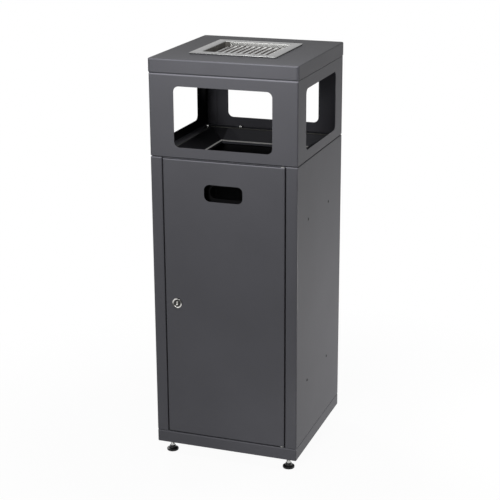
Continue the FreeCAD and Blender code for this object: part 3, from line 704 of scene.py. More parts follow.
@dataclass(frozen=True)
class LockPlating(Plated):
    """Plating on the lock's turned face: a painted sheen in two sectors, painted shade in the dish,
    a painted highlight on the keyway.
    """

    x: float = LOCK_X * MM
    z: float = LOCK_Z * MM
    # painted sheen in two opposite sectors of the face, painted shade in the dish
    painted_sheen_sector: float = 0.00003
    painted_sheen_dark_share: float = 0.15
    dish: float = 0.0088
    dish_soft: float = 0.08
    painted_shade_share: float = 0.08
    # painted highlight: the keyway stays bright
    keyway: Zone = Zone((-0.1178, -0.1790, 0.3863), (-0.1150, -0.1600, 0.3951))

    def tone(self, sheet: Sheet, clouds: Socket) -> Socket:
        """Gives the colour with its painted sheen, shade and highlight: the sectors follow the
        product of the two offsets from the axis, the dish their squares.

        Args:
            sheet: The material.
            clouds: The plating's own unevenness.

        Returns:
            The colour.
        """
        plain = super().tone(sheet, clouds)
        x, _, z = sheet.parts(sheet.moved(sheet.coordinates, (self.x, 0.0, self.z)))
        painted_sheen_sector = sheet.spread(sheet.math("MULTIPLY", x, z), 0.0, 1.0, -self.painted_sheen_sector, self.painted_sheen_sector)
        # painted sheen: the dark sectors of the rim
        rim = sheet.blend(painted_sheen_sector, plain, shade(self.colour, self.painted_sheen_dark_share))
        squares = sheet.math("ADD", *(sheet.math("MULTIPLY", side, side) for side in (x, z)))
        edges = ((1 + side * self.dish_soft) * self.dish**2 for side in (-1, 1))
        # painted shade in the dish; the keyway is left bright as a painted highlight
        inside = sheet.spread(squares, 1.0, 0.0, *edges)
        painted_shade_dish = sheet.blend(inside, rim, shade(self.colour, self.painted_shade_share))
        return sheet.blend(self.keyway.mask(sheet), painted_shade_dish, plain)


@dataclass(frozen=True)
class Moulded(Finish):
    """Moulded plastic, nylon or rubber: a fine spark-eroded grain and slightly uneven gloss."""

    grain: float = 0.3
    grain_depth: float = 0.0001
    grain_scale: float = 1900.0
    cloud_scale: float = 120.0
    sheen: float = 0.5

    def paint(self, sheet: Sheet) -> None:
        """Adds the moulding's nodes.

        Args:
            sheet: The material.
        """
        grain = sheet.bump(sheet.noise(self.grain_scale), self.grain_depth, self.grain)
        clouds = sheet.noise(self.cloud_scale)
        values = {"Base Color": self.tones(sheet, clouds, 0.85, 1.2), "Normal": grain}
        values |= {"Roughness": self.uneven(sheet, clouds, 0.07, 0.07)}
        sheet.fill(sheet.shader, values | {"Specular IOR Level": self.sheen})


ANTHRACITE = (0.0697, 0.0697, 0.0788)
COAT_ROUGHNESS = 0.62
CRISP = 0.0002  # half the width of a crisp border between finishes
COAT = PowderCoat(
    Slot.POWDER_COAT,
    ANTHRACITE,
    COAT_ROUGHNESS,
    # painted shade: the hood's inside is dull, its left inner wall and the gap above the door are
    # painted dark
    painted_shade=(
        Zone((-0.1742, -0.1742, 0.7405), (0.1742, 0.1742, 0.9245)),
        Zone((-0.1742, -0.1742, 0.7405), (-0.1700, 0.1742, 0.9245), 0.3),
        Zone((-0.1460, -0.1722, 0.7341), (0.1460, -0.1500, 0.7378), 0.25),
    ),
    # painted highlights: lighter bands on the front's upper bends of lid, hood, body, door and base
    painted_highlights=(
        Zone((-0.1780, -0.1780, 0.9570), (0.1780, -0.1735, 0.9610), 1.80),
        Zone((-0.1760, -0.1760, 0.9238), (0.1760, -0.1725, 0.9268), 2.50),
        Zone((-0.1455, -0.1760, 0.7321), (0.1455, -0.1722, 0.7343), 2.30),
        Zone((-0.1760, -0.1760, 0.7343), (0.1760, -0.1725, 0.7366), 2.20),
        Zone((-0.1760, -0.1760, 0.7385), (0.1760, -0.1725, 0.7408), 1.25),
        Zone((-0.1760, -0.1760, 0.0580), (0.1760, -0.1725, 0.0612), 1.30),
    ),
    # painted highlight: a lighter band on the cut edges of the flanges at the seam inside the hood
    edges=(Zone((-0.1513, -0.1513, 0.7375), (0.1513, 0.1513, 0.7398), soft=CRISP),),
)
CHUTE_COAT = PowderCoat(
    Slot.POWDER_COAT,
    ANTHRACITE,
    COAT_ROUGHNESS,
    title="chute_coat",
    gloss=0.06,
    gloss_roughness=0.10,
    # painted shade: the chute's left slope is painted darker
    painted_shade=(Zone((-0.1660, -0.1660, 0.7080), (-0.1080, 0.1600, 0.7390), 0.45, 0.002),),
    edges=(Zone((-0.2, -0.2, 0.7148), (0.2, 0.2, 0.7172), soft=CRISP),),
    edge_colour=(0.38, 0.38, 0.37),
    edge_metal=1.0,
)
STEEL = BrushedSteel(
    Slot.STAINLESS,
    (0.32, 0.32, 0.32),
    0.20,
    # sooty dirt with painted shade: the pan below the grate and the gap left of it are dark
    soot_and_shade=(
        Zone((-0.0878, -0.0723, 0.9137), (0.0758, 0.0833, 0.9300), soft=CRISP),
        Zone((-0.0878, -0.0723, 0.9137), (-0.0748, 0.0833, 0.9612), soft=CRISP),
    ),
    # painted sheen: the upper back wall of the pan is painted brighter
    painted_sheen=(Zone((-0.0878, 0.0780, 0.9300), (0.0758, 0.0833, 0.9620), soft=CRISP),),
)
GRATE = GrateSteel(
    Slot.STAINLESS,
    (0.40, 0.40, 0.40),
    0.20,
    title="grate_steel",
    # sooty dirt with painted shade in the holes and under the front of the plate
    soot_and_shade=(Zone((-0.0890, -0.0735, 0.9000), (0.0770, 0.0400, 0.95335), soft=0.00012),),
    soot_and_shade_colour=(0.022, 0.015, 0.012),
    edge_tint=(0.82, 0.82, 0.82),
)
LINER = PowderCoat(Slot.LINER_BLACK, (0.014, 0.014, 0.015), 0.55, gloss=0.1, peel=0.3, drift=0.2)
GALVANISED = Galvanised(Slot.GALVANISED, (0.42, 0.43, 0.44), 0.42)
ZINC = Plated(Slot.ZINC, (0.50, 0.50, 0.49), 0.32)
BRIGHT_ZINC = Plated(Slot.ZINC, (0.82, 0.82, 0.80), 0.16, title="bright_zinc", marks=0.1)
CHROME = LockPlating(Slot.LOCK_CHROME, (0.62, 0.61, 0.59), 0.18, marks=0.12)
RIVET = PowderCoat(Slot.RIVET_BLACK, (0.012, 0.012, 0.013), 0.42)
PAD = Moulded(Slot.FOOT_PLASTIC, (0.008, 0.008, 0.009), 0.42, sheen=0.25)
NYLON = Moulded(Slot.BUSH_NYLON, (0.45, 0.45, 0.43), 0.45)
RUBBER = Moulded(Slot.BUFFER_RUBBER, (0.02, 0.02, 0.02), 0.6)
BY_SLOT: dict[str, Finish] = {
    finish.slot.value: finish
    for finish in (COAT, STEEL, LINER, GALVANISED, ZINC, CHROME, RIVET, PAD, NYLON, RUBBER)
}


class Piece(NamedTuple):
    """A new piece: name, shape, the body it rides on, finish and the CAD node it stands for."""

    name: str
    surface: Surface
    body: str
    finish: Finish
    node: str


@dataclass
class Wardrobe:
    """All finishes as materials, and the way to put them on pieces."""

    made: dict[Finish, bpy.types.Material] = field(default_factory=dict)

    def material(self, finish: Finish) -> bpy.types.Material:
        """Gives a finish's material and builds it the first time.

        Args:
            finish: The finish.

        Returns:
            Its material.
        """
        if finish not in self.made:
            self.made[finish] = finish.material()
        return self.made[finish]

    def dress_nodes(self) -> None:
        """Puts each CAD node's finish on it, by the record's slot."""
        for part in frame["record"]["subparts"]:
            mesh = frame["nodes"][part["node"]].data
            mesh.materials.clear()
            mesh.materials.append(self.material(BY_SLOT[part["material_slot"]]))

    def add(self, piece: Piece) -> None:
        """Makes a new piece that stands for a CAD node.

        Args:
            piece: The piece.
        """
        surface = piece.surface
        faces = surface.quads.tolist() + surface.triangles.tolist()
        mesh = bpy.data.meshes.new(piece.name)
        mesh.from_pydata((surface.points * MM).tolist(), [], faces)
        mesh.shade_smooth()
        mesh.set_sharp_from_angle(angle=SHARP)
        mesh.materials.append(self.material(piece.finish))
        made = bpy.data.objects.new(piece.name, mesh)
        bpy.context.scene.collection.objects.link(made)
        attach(made, piece.body)
        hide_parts(piece.node)
        LOG.info("%s: %d faces on %s", piece.name, len(mesh.polygons), piece.body)


class Assembly(ABC):
    """A sub-assembly that gives finer surfaces for some CAD nodes."""

    @abstractmethod
    def pieces(self) -> list[Piece]:
        """Gives the new pieces."""

    def build(self, wardrobe: Wardrobe) -> None:
        """Makes and dresses every new piece."""
        for piece in self.pieces():
            wardrobe.add(piece)


@dataclass(frozen=True)
class HexNut:
    """A hexagon nut whose corners are turned off at both faces."""

    flats: float
    height: float
    bore: float
    steps: int = 48
    face: float = 0.48
    lead: float = 0.35
    slope: float = math.tan(math.radians(28))

    def surface(self) -> Surface:
        """Works out the nut: at each angle the side is the hexagon, and its ends drop by slope
        times what it stands out past the face's circle.

        Returns:
            The nut on its lower face about +Z.
        """
        angles = turns(self.steps)
        side = hexagon(angles, self.flats)
        face, mouth, top = self.flats * self.face, self.bore + self.lead, self.height
        drop = (side - face) * self.slope
        rows = [(self.bore, self.lead), (mouth, 0.0), (face, 0.0), (side, drop)]
        rows += [(side, top - drop), (face, top), (mouth, top), (self.bore, top - self.lead)]
        return loft(about_axis(rows, angles), Ends.JOINED)


@dataclass(frozen=True)
class SocketScrew:
    """A threaded screw with a domed head and a hexagon socket."""

    radius: float
    length: float
    pitch: float
    head_radius: float
    head: float
    socket: float
    steps: int = 36
    tip: float = 0.6
    neck: float = 0.4
    head_side: float = 0.22
    head_ease: float = 0.2
    mouth: float = 0.62
    lead: float = 1.03
    lead_top: float = 0.05
    lead_low: float = 0.25
    deep: float = 0.45

    def surface(self) -> Surface:
        """Works out the screw as rings from its tip to the socket's floor; the head is a quarter
        of an ellipse.

        Returns:
            The screw with its seat at 0 and its head above it.
        """
        angles = turns(self.steps)
        key = hexagon(angles, self.socket)
        dome = np.linspace(0, np.pi / 2, 7)[:, None]
        mouth, top = self.socket * self.mouth, self.head
        dome_r = mouth + (self.head_radius - mouth) * np.cos(dome)
        dome_z = top * (self.head_side + (1 - self.head_side) * np.sin(dome))
        rows = [(self.radius - self.tip, -self.length)]
        rows += [thread(self.tip - self.length, -self.neck, self.radius, self.pitch, angles)]
        rows += [(self.radius, 0.0), (self.head_radius - self.head_ease, 0.0), (dome_r, dome_z)]
        rows += [(key * self.lead, top - self.lead_top), (key, top - self.lead_low)]
        rows += [(key, top - top * self.deep)]
        return loft(about_axis(rows, angles), Ends.CAPPED)


@dataclass
class LevellingFoot(Assembly):
    """One levelling foot: a moulded pad and a threaded spindle with a hexagon collar."""

    place: str
    pad_radius: float = 14.0
    pad_height: float = 12.0
    socket: float = 6.0
    spindle: float = 4.0
    spindle_end: float = 3.6
    collar_flats: float = 9.5
    collar_face: float = 0.485
    collar_slope: float = 0.55
    collar_top: float = 16.5
    top: float = 52.0
    pitch: float = 1.25
    tip: float = 0.8

    def pad(self) -> Surface:
        """Works out the pad by turning its outline: rim, groove, hollow shoulder and collar.

        Returns:
            The pad about +Z.
        """
        r, h = self.pad_radius, self.pad_height
        outline = [(r - 5.0, 0.6), (r - 4.4, 0.0)]
        outline += arc((r - 1.2, 1.2), 1.2, -90, 0)
        outline += arc((r - 1.0, 4.0), 1.0, 0, 70)
        outline += [(r - 1.1, 4.75), (r - 1.6, 4.75)]
        outline += arc((r - 1.4, 11.4), 5.9, 250, 190, 9)
        outline += arc((6.6, 11.4), 0.6, 0, 90)
        outline += [(self.spindle + 0.4, h), (self.spindle, h - 0.4), (self.spindle, self.socket)]
        return lathe(outline, 64)

    def spindle_surface(self) -> Surface:
        """Works out the spindle: a plain end, a hexagon collar with turned-off corners, a thread.

        Returns:
            The spindle about +Z.
        """
        angles = turns(36)
        side = hexagon(angles, self.collar_flats)
        face = self.collar_flats * self.collar_face
        drop = (side - face) * self.collar_slope
        r, low, high = self.spindle, self.pad_height, self.collar_top
        rows = [(self.spindle_end, self.socket), (r, self.socket + 0.4), (r, low), (face, low)]
        rows += [(side, low + drop), (side, high - drop), (face, high), (r, high)]
        rows += [thread(high + 0.4, self.top - self.tip, r, self.pitch, angles)]
        rows += [(r - self.tip, self.top)]
        return loft(about_axis(rows, angles), Ends.CAPPED)

    def pieces(self) -> list[Piece]:
        """Gives the pad and the spindle.

        Returns:
            Both pieces.
        """
        place, body = self.place, f"foot_{self.place}"
        spot = [(*FEET[place], 0.0)]
        pad, spindle = self.pad().repeated(spot), self.spindle_surface().repeated(spot)
        return [
            Piece(f"levelling_pad_{place}", pad, body, PAD, f"foot_pad_{place}"),
            Piece(f"levelling_spindle_{place}", spindle, body, ZINC, f"foot_spindle_{place}"),
        ]


@dataclass
class CamLock(Assembly):
    """The cam lock in the door: dished head and barrel, fixing nut, key plug and cam screw."""

    x: float = LOCK_X
    y: float = -175.0
    z: float = LOCK_Z
    head_radius: float = 12.0
    head: float = 3.0
    head_bend: float = 1.4
    barrel: float = 9.5
    barrel_back: float = -19.0
    barrel_pitch: float = 1.0
    bore: float = 6.25
    plug_radius: float = 6.2
    plug_face: float = 1.7
    plug_back: float = -21.5
    drive: float = 7.0
    drive_back: float = -24.0
    key_width: float = 1.4
    key_height: float = 7.5
    key_depth: float = 1.2
    dish: float = 3.3
    dish_slope: float = 26.0
    sheet: float = 1.5
    steps: int = 72
    nut: HexNut = HexNut(24.0, 5.0, 9.5, 72)
    screw: SocketScrew = SocketScrew(2.5, 10.0, 0.8, 5.5, 3.5, 4.0)

    def placed(self, surface: Surface, facing: Facing, depth: float = 0.0) -> Surface:
        """Gives a piece of the lock, turned and moved to so far behind the door's face."""
        return surface.turned(facing).repeated([(self.x, self.y + depth, self.z)])

    def housing(self) -> Surface:
        """Works out the housing by turning its outline: threaded barrel, round-edged head, dish.

        Returns:
            The housing about +Z, with the door's face at 0.
        """
        angles = turns(self.steps)
        back, bend, r, h = self.barrel_back, self.head_bend, self.head_radius, self.head
        low, dish_h = self.bore + 0.25, h - 0.1
        drop = self.dish * math.tan(math.radians(self.dish_slope))
        rows = [(self.bore, back), (self.barrel - 0.5, back)]
        rows += [thread(back + 0.5, -self.sheet - 0.2, self.barrel, self.barrel_pitch, angles, 6)]
        rows += [(self.barrel, 0.0), (r - 0.3, 0.0), (r, 0.3), (r, 1.5)]
        rows += arc((r - bend, h - bend), bend, 0, 90, 8)
        rows += [(low + self.dish + 0.3, h), (low + self.dish, dish_h), (low, dish_h - drop)]
        rows += [(self.bore, h - 0.3 - drop)]
        return loft(about_axis(rows, angles), Ends.JOINED)

    def plug(self) -> Surface:
        """Works out the plug: a turned bar whose face leads into the keyway and down to its floor.

        Returns:
            The plug about +Z, with the door's face at 0.
        """
        angles = turns(self.steps)
        key = slot_radius(angles, self.key_width, self.key_height, 0.6)
        edge = slot_radius(angles, self.key_width + 0.5, self.key_height + 0.5, 0.8)
        square = slot_radius(angles, self.drive, self.drive, 0.4)
        face, back, r = self.plug_face, self.plug_back, self.plug_radius
        rows = [(square, self.drive_back), (square, back), (r, back), (r, face - 0.35)]
        rows += [(r - 0.35, face), (edge, face), (key, face - 0.3), (key, face - self.key_depth)]
        return loft(about_axis(rows, angles), Ends.CAPPED)

    def pieces(self) -> list[Piece]:
        """Gives the lock's pieces, apart from its cam.

        Returns:
            Housing, nut, plug and screw.
        """
        housing = self.placed(self.housing(), Facing.FRONT)
        nut = self.placed(self.nut.surface(), Facing.BACK, self.sheet)
        plug = self.placed(self.plug(), Facing.FRONT)
        screw = self.placed(self.screw.surface(), Facing.BACK, -self.drive_back)
        return [
            Piece("lock_head_and_barrel", housing, "door", CHROME, "lock_housing"),
            Piece("lock_fixing_nut", nut, "door", ZINC, "lock_nut"),
            Piece("lock_key_plug", plug, "lock", CHROME, "lock_plug"),
            Piece("lock_cam_screw", screw, "lock", ZINC, "cam_screw"),
        ]


@dataclass
class AshTray(Assembly):
    """The lift-out ash pan in the lid and the plate of its grate."""

    x: float = -6.0
    y: float = 5.5
    width: float = 163.0
    depth: float = 155.0
    corner: float = 4.0
    flange: float = 22.0
    sheet: float = 1.0
    floor: float = 914.0
    floor_bend: float = 3.0
    lid_top: float = 960.0
    rim_top: float = 963.0
    plate_x: float = -0.25
    plate_half: tuple[float, float] = (74.75, 75.5)
    plate_top: float = 953.5
    plate: float = 1.5
    holes: int = 10
    pitch: float = 14.3
    hole_width: float = 7.5
    hole_length: float = 10.8
    hole_corner: float = 1.0
    around: int = 24

    def pan(self) -> Surface:
        """Works out the pan by carrying its section round a rounded rectangle, from under its
        floor, up the wall, out below the rim, round the rim's turned-down edge, over the rim and
        down to the floor again.

        Returns:
            The pan in its place.
        """
        t, bend, rim = self.sheet, self.floor_bend, self.rim_top
        roll = (rim - self.lid_top) / 2
        outside = arc((t - bend, self.floor - t + bend), bend, -90, 0)
        outside += arc((t + 1.0, rim - t - 1.0), 1.0, 180, 90, 4)
        edge = [(3.0, rim - t)] + arc((roll, self.lid_top + roll), roll, 330, 90, 14)
        inside = arc((1.5, rim - 1.5), 1.5, 90, 180)
        inside += arc((-bend, self.floor + bend), bend, 0, -90)
        rings = [(out, self.corner + out, up) for out, up in outside]
        rings += [(self.flange - inset, self.corner - inset, up) for inset, up in edge]
        rings += [(out, self.corner + out, up) for out, up in inside]
        outline = [(self.width + 2 * out, self.depth + 2 * out, c, up) for out, c, up in rings]
        return folded(outline, 8, Ends.CAPPED).repeated([(self.x, self.y, 0.0)])

    def cell(self) -> Array:
        """Works out one cell of the grate: it leads from its square edge over a rolled lip, down
        the hole's wall and out again below. A hole is a square with round corners, drawn in across
        to its width.

        Returns:
            Its rings, shaped (rings, points around, 3).
        """
        angles = turns(self.around) + np.pi / 4
        edge = slot_radius(angles, self.pitch, self.pitch, 0.0)
        lip = [(0.25, 0.0), (0.12, 0.03), (0.03, 0.1), (0.0, 0.2)]
        lip += [(0.0, self.plate - 0.3), (0.3, self.plate)]
        sides = [self.hole_length + 2 * out for out, _ in lip]
        rows = [(edge, self.plate_top)]
        for side, (out, down) in zip(sides, lip):
            hole = slot_radius(angles, side, side, self.hole_corner + out)
            rows.append((hole, self.plate_top - down))
        rings = about_axis(rows + [(edge, self.plate_top - self.plate)], angles)
        across = [(self.hole_width + 2 * out) / side for side, (out, _) in zip(sides, lip)]
        rings[1:-1, :, 0] *= np.array(across)[:, None]
        return rings

    def grate(self) -> Surface:
        """Works out the perforated plate from a grid of cells. The outer cells reach to the
        plate's edge, and a strip closes it.

        Returns:
            The plate in its place.
        """
        n, around = self.holes, self.around
        middles = (np.arange(n) - (n - 1) / 2) * self.pitch
        rings = np.tile(self.cell(), (n, n, 1, 1, 1))
        rings[..., 0] += middles[None, :, None, None]
        rings[..., 1] += middles[:, None, None, None]
        for axis, half in enumerate(self.plate_half):
            along = rings[..., axis]
            outer = np.abs(along) >= n * self.pitch / 2 - TOUCH
            rings[..., axis] = np.where(outer, np.sign(along) * half, along)
        points = rings.reshape(-1, 3)
        skin = np.arange(len(points)).reshape(n, n, -1, around)
        ahead = np.roll(skin, -1, axis=3)
        corners = [skin[:, :, :-1], ahead[:, :, :-1], ahead[:, :, 1:], skin[:, :, 1:]]
        quads = np.stack(corners, -1).reshape(-1, 4)
        quarter = np.arange(around // 4)
        edges = (skin[-1, ::-1], skin[::-1, 0], skin[0], skin[:, -1])
        sides = [row[:, :, quarter + k * around // 4] for k, row in enumerate(edges)]
        top, low = (np.concatenate([s[:, k].reshape(-1) for s in sides]) for k in (0, -1))
        strip = np.stack([top, low, np.roll(low, -1), np.roll(top, -1)], -1)
        made = Surface(points, np.concatenate([quads, strip]), np.zeros((0, 3), int)).outward()
        return made.repeated([(self.plate_x, self.y, 0.0)])

    def pieces(self) -> list[Piece]:
        """Gives the pan and the grate's plate."""
        pan = Piece("ash_pan_folded", self.pan(), "pan", STEEL, "ash_pan")
        return [pan, Piece("grate_plate_pressed", self.grate(), "grate", GRATE, "ash_grate")]


@dataclass
class Chute(Assembly):
    """The sloping plate under the windows, bent round at its mouth's lip."""

    flange: float = 165.0
    top: float = 150.0
    mouth: float = 109.0
    top_z: float = 738.0
    mouth_z: float = 717.0
    lip_z: float = 709.0
    sheet: float = 1.0
    top_bend: float = 4.0
    mouth_bend: float = 3.0
    corner: float = 2.5
    ease: float = 0.3

    def surface(self) -> Surface:
        """Works out the chute by carrying its section round a square: flange, bend, slope, bend,
        lip and back below.

        The slope is tangent to both bends, whose circles have their centres below the flange and
        outside the lip.

        Returns:
            The chute plate.
        """
        fall = 90 + math.degrees(math.atan2(self.top_z - self.mouth_z, self.top - self.mouth))
        t, ease, mouth, lip = self.sheet, self.ease, self.mouth, self.lip_z
        upper = (self.top, self.top_z - self.top_bend)
        lower = (mouth + self.mouth_bend, self.mouth_z - self.mouth_bend)
        section = [(self.flange, self.top_z)]
        section += arc(upper, self.top_bend, 90, fall, 5)
        section += arc(lower, self.mouth_bend, fall, 180, 8)
        section += [(mouth, lip + ease), (mouth + ease, lip)]
        section += [(mouth + t - ease, lip), (mouth + t, lip + ease)]
        section += arc(lower, self.mouth_bend - t, 180, fall, 8)
        section += arc(upper, self.top_bend - t, fall, 90, 5)
        section += [(self.flange, self.top_z - t)]
        rings = [(2 * half, 2 * half, self.corner, z) for half, z in section]
        return folded(rings, 5, Ends.JOINED)

    def pieces(self) -> list[Piece]:
        """Gives the chute plate."""
        return [Piece("chute_bent", self.surface(), "carcass", CHUTE_COAT, "chute_plate")]


class ScrewRow(NamedTuple):
    """A row of screws: name, heights of the screws' seat and the nuts' lower face, and where the
    heads point; the front may have screws too."""

    name: str
    seat: float
    nut_low: float
    facing: Facing
    with_front: bool = False


@dataclass
class Fasteners(Assembly):
    """Screws with their nuts in three rows, the feet's lock nuts and the guide rails' rivets."""

    rows: tuple[ScrewRow, ...] = (
        ScrewRow("hood", 739.5, 731.5, Facing.UP),
        ScrewRow("lid", 926.5, 929.5, Facing.DOWN, with_front=True),
        ScrewRow("base", 62.5, 55.5, Facing.UP),
    )
    line: float = 162.0
    offset: float = 80.0
    offset_back: float = 150.0
    locknut_z: float = 23.5
    wall: float = 175.0
    rivet_y: tuple[float, float] = (-93.5, 65.5)
    rivet_z: tuple[float, float] = (204.5, 598.0)
    rivet_head_radius: float = 3.25
    rivet_head: float = 1.2
    rivet_side: float = 0.25
    rivet_radius: float = 2.0
    grip: float = 4.5
    screw: SocketScrew = SocketScrew(2.5, 9.5, 0.8, 4.7, 3.3, 3.0)
    nut: HexNut = HexNut(8.0, 4.0, 2.5)
    locknut: HexNut = HexNut(13.0, 6.5, 4.05)

    def spots(self, level: float, with_front: bool) -> list[Point]:
        """Gives the places of one row of screws.

        Args:
            level: Their height.
            with_front: Whether the front has screws too.

        Returns:
            A point for each screw.
        """
        a, b, c = self.line, self.offset, self.offset_back
        flat = [(a, c), (a, -b), (-a, c), (-a, -b), (b, a), (-b, a)]
        flat += [(b, -a), (-b, -a)] if with_front else []
        return [(x, y, level) for x, y in flat]

    def rivet(self) -> Surface:
        """Works out a blind rivet by turning its outline: bulb, shank, low dome and the hole of
        its drawn pin.

        Returns:
            The rivet about +Z, with the sheet's face at 0.
        """
        end, shank, side = -self.grip, self.rivet_radius, self.rivet_side
        r, h = self.rivet_head_radius, self.rivet_head
        outline = [(1.2, end), (2.3, end + 0.3), (2.6, end + 0.9), (2.3, end + 1.4)]
        outline += [(shank, end + 1.5), (shank, 0.0), (r, 0.0), (r, side)]
        dome = np.radians((20, 40, 55, 68))
        outline += [(r * math.cos(a), side + (h - side) * math.sin(a)) for a in dome]
        outline += [(0.95, h), (0.8, h - 0.15), (0.8, h - 0.6), (0.3, h - 0.65)]
        return lathe(outline, 28)

    def pieces(self) -> list[Piece]:
        """Gives every set of fasteners.

        Returns:
            Screws and nuts of the three rows, lock nuts and rivets.
        """
        screw, nut, rivet = self.screw.surface(), self.nut.surface(), self.rivet()
        made = []
        for name, seat, nut_low, facing, with_front in self.rows:
            heads = screw.turned(facing).repeated(self.spots(seat, with_front))
            nuts = nut.repeated(self.spots(nut_low, with_front))
            made += [
                Piece(f"{name}_socket_screws", heads, "carcass", BRIGHT_ZINC, f"{name}_screws"),
                Piece(f"{name}_hexagon_nuts", nuts, "carcass", ZINC, f"{name}_nuts"),
            ]
        feet = [(x, y, self.locknut_z) for x, y in FEET.values()]
        locknuts = self.locknut.surface().repeated(feet)
        rivets = []
        for facing, x in ((Facing.RIGHT, self.wall), (Facing.LEFT, -self.wall)):
            spots = [(x, y, z) for z in self.rivet_z for y in self.rivet_y]
            rivets.append(rivet.turned(facing).repeated(spots))
        return made + [
            Piece("foot_hexagon_locknuts", locknuts, "carcass", ZINC, "foot_locknuts"),
            Piece("blind_rivets", joined(rivets), "carcass", RIVET, "guide_rivets"),
        ]


@dataclass
class DoorFittings(Assembly):
    """The door's two pivots with their bushes, and the buffers that it closes on."""

    x: float = 139.0
    y: float = -168.5
    pin: float = 3.0
    pin_reach: float = 10.0
    pin_low: float = 57.5
    pin_high: float = 737.0
    pin_head: float = 2.0
    bush: float = 4.0
    bush_depth: float = 6.0
    bush_air: float = 0.05
    collar: float = 5.0
    collar_low: float = -1.7
    collar_high: float = 1.2
    door_low: float = 63.0
    door_high: float = 734.0
    buffer_x: float = -141.25
    buffer_y: float = -155.5
    buffer_z: tuple[float, float] = (198.5, 598.5)
    steps: int = 32

    def pin_surface(self, low: float, high: float, head: float) -> Surface:
        """Works out a pin by turning its outline.

        Args:
            low: Its lower end.
            high: Its upper end.
            head: Height of the flat head below, or 0.

        Returns:
            The pin about its own axis.
        """
        r, c, top = self.pin, self.collar, low + head
        foot = [(c - 0.5, low), (c, low + 0.5), (c, top - 0.2), (c - 0.2, top), (r, top)]
        plain = [(r - 0.5, low), (r, low + 0.5)]
        return lathe((foot if head else plain) + [(r, high - 0.6), (r - 0.6, high)], self.steps)

    def bush_surface(self, face: float, collar: float) -> Surface:
        """Works out a collared bush by turning its outline; a collar above 0 stands up.

        Args:
            face: Height of the door's edge that its collar lies on.
            collar: Height of the collar, negative where it hangs below.

        Returns:
            The bush about its own axis.
        """
        hole, r, wide = self.pin + self.bush_air, self.bush, self.collar
        back = -math.copysign(self.bush_depth, collar)
        outline = [(hole, back), (r - 0.3, back), (r, back * 0.94), (r, 0.0)]
        outline += [(wide, 0.0), (wide, collar * 0.8), (wide - 0.3, collar), (hole, collar)]
        return lathe([(out, face + up) for out, up in outline], self.steps, Ends.JOINED)

    def buffer(self) -> Surface:
        """Works out a buffer by turning its outline: a low domed button."""
        outline = [(5.0, 0.0), (5.0, 0.5), (4.7, 0.85), (4.0, 1.05), (2.4, 1.18), (0.8, 1.2)]
        return lathe(outline, self.steps)

    def pieces(self) -> list[Piece]:
        """Gives the pivots and buffers.

        Returns:
            Pin and bush of each end, and the buffers.
        """
        low, high = self.door_low, self.door_high
        ends = {
            "lower": ((self.pin_low, low + self.pin_reach, self.pin_head), (low, self.collar_low)),
            "upper": ((high - self.pin_reach, self.pin_high, 0.0), (high, self.collar_high)),
        }
        spot = [(self.x, self.y, 0.0)]
        made = []
        for end, (pin_sizes, bush_sizes) in ends.items():
            pin = self.pin_surface(*pin_sizes).repeated(spot)
            bush = self.bush_surface(*bush_sizes).repeated(spot)
            made += [
                Piece(f"pivot_pin_{end}", pin, "carcass", ZINC, f"hinge_pin_{end}"),
                Piece(f"pivot_bush_{end}", bush, "door", NYLON, f"hinge_bush_{end}"),
            ]
        spots = [(self.buffer_x, self.buffer_y, z) for z in self.buffer_z]
        buffers = self.buffer().turned(Facing.FRONT).repeated(spots)
        return made + [Piece("stop_buffers_domed", buffers, "carcass", RUBBER, "door_buffers")]


@dataclass
class PhotoView:
    """The camera, as fitted to the photograph's corners and seams."""

    place: Point = (1.04629, -2.93244, 1.46598)
    yaw: float = -19.6205
    pitch: float = 17.5857
    roll: float = -0.2856
    focal: float = 1365.06
    image: float = 500.0
    sensor: float = 36.0

    def build(self) -> None:
        """Adds the camera and makes it the scene's."""
        yaw, pitch, roll = (math.radians(a) for a in (self.yaw, self.pitch, self.roll))
        level = math.cos(pitch)
        ahead = Vector((math.sin(yaw) * level, math.cos(yaw) * level, -math.sin(pitch)))
        right = Vector((math.cos(yaw), -math.sin(yaw), 0.0))
        up = right.cross(ahead)
        turned_right = math.cos(roll) * right + math.sin(roll) * up
        turned_up = -math.sin(roll) * right + math.cos(roll) * up
        data = bpy.data.cameras.new("photo_camera")
        data.sensor_width = self.sensor
        data.lens = self.focal / self.image * self.sensor
        camera = bpy.data.objects.new("photo_camera", data)
        rows = Matrix((turned_right, turned_up, -ahead)).transposed()
        camera.matrix_world = Matrix.Translation(self.place) @ rows.to_4x4()
        bpy.context.scene.collection.objects.link(camera)
        bpy.context.scene.camera = camera


@dataclass(frozen=True)
class SoftBox:
    """One flat studio light that looks at a point."""

    name: str
    place: Point
    aim: Point
    wide: float
    high: float
    watts: float
    colour: Colour = (1.0, 1.0, 1.0)

    def build(self) -> None:
        """Adds the light."""
        data = bpy.data.lights.new(self.name, "AREA")
        data.shape = "RECTANGLE"
        data.size = self.wide
        data.size_y = self.high
        data.energy = self.watts
        data.color = self.colour
        light = bpy.data.objects.new(self.name, data)
        turn = (Vector(self.aim) - Vector(self.place)).to_track_quat("-Z", "Y")
        light.matrix_world = Matrix.Translation(self.place) @ turn.to_matrix().to_4x4()
        bpy.context.scene.collection.objects.link(light)


WARM = (1.0, 0.985, 0.94)


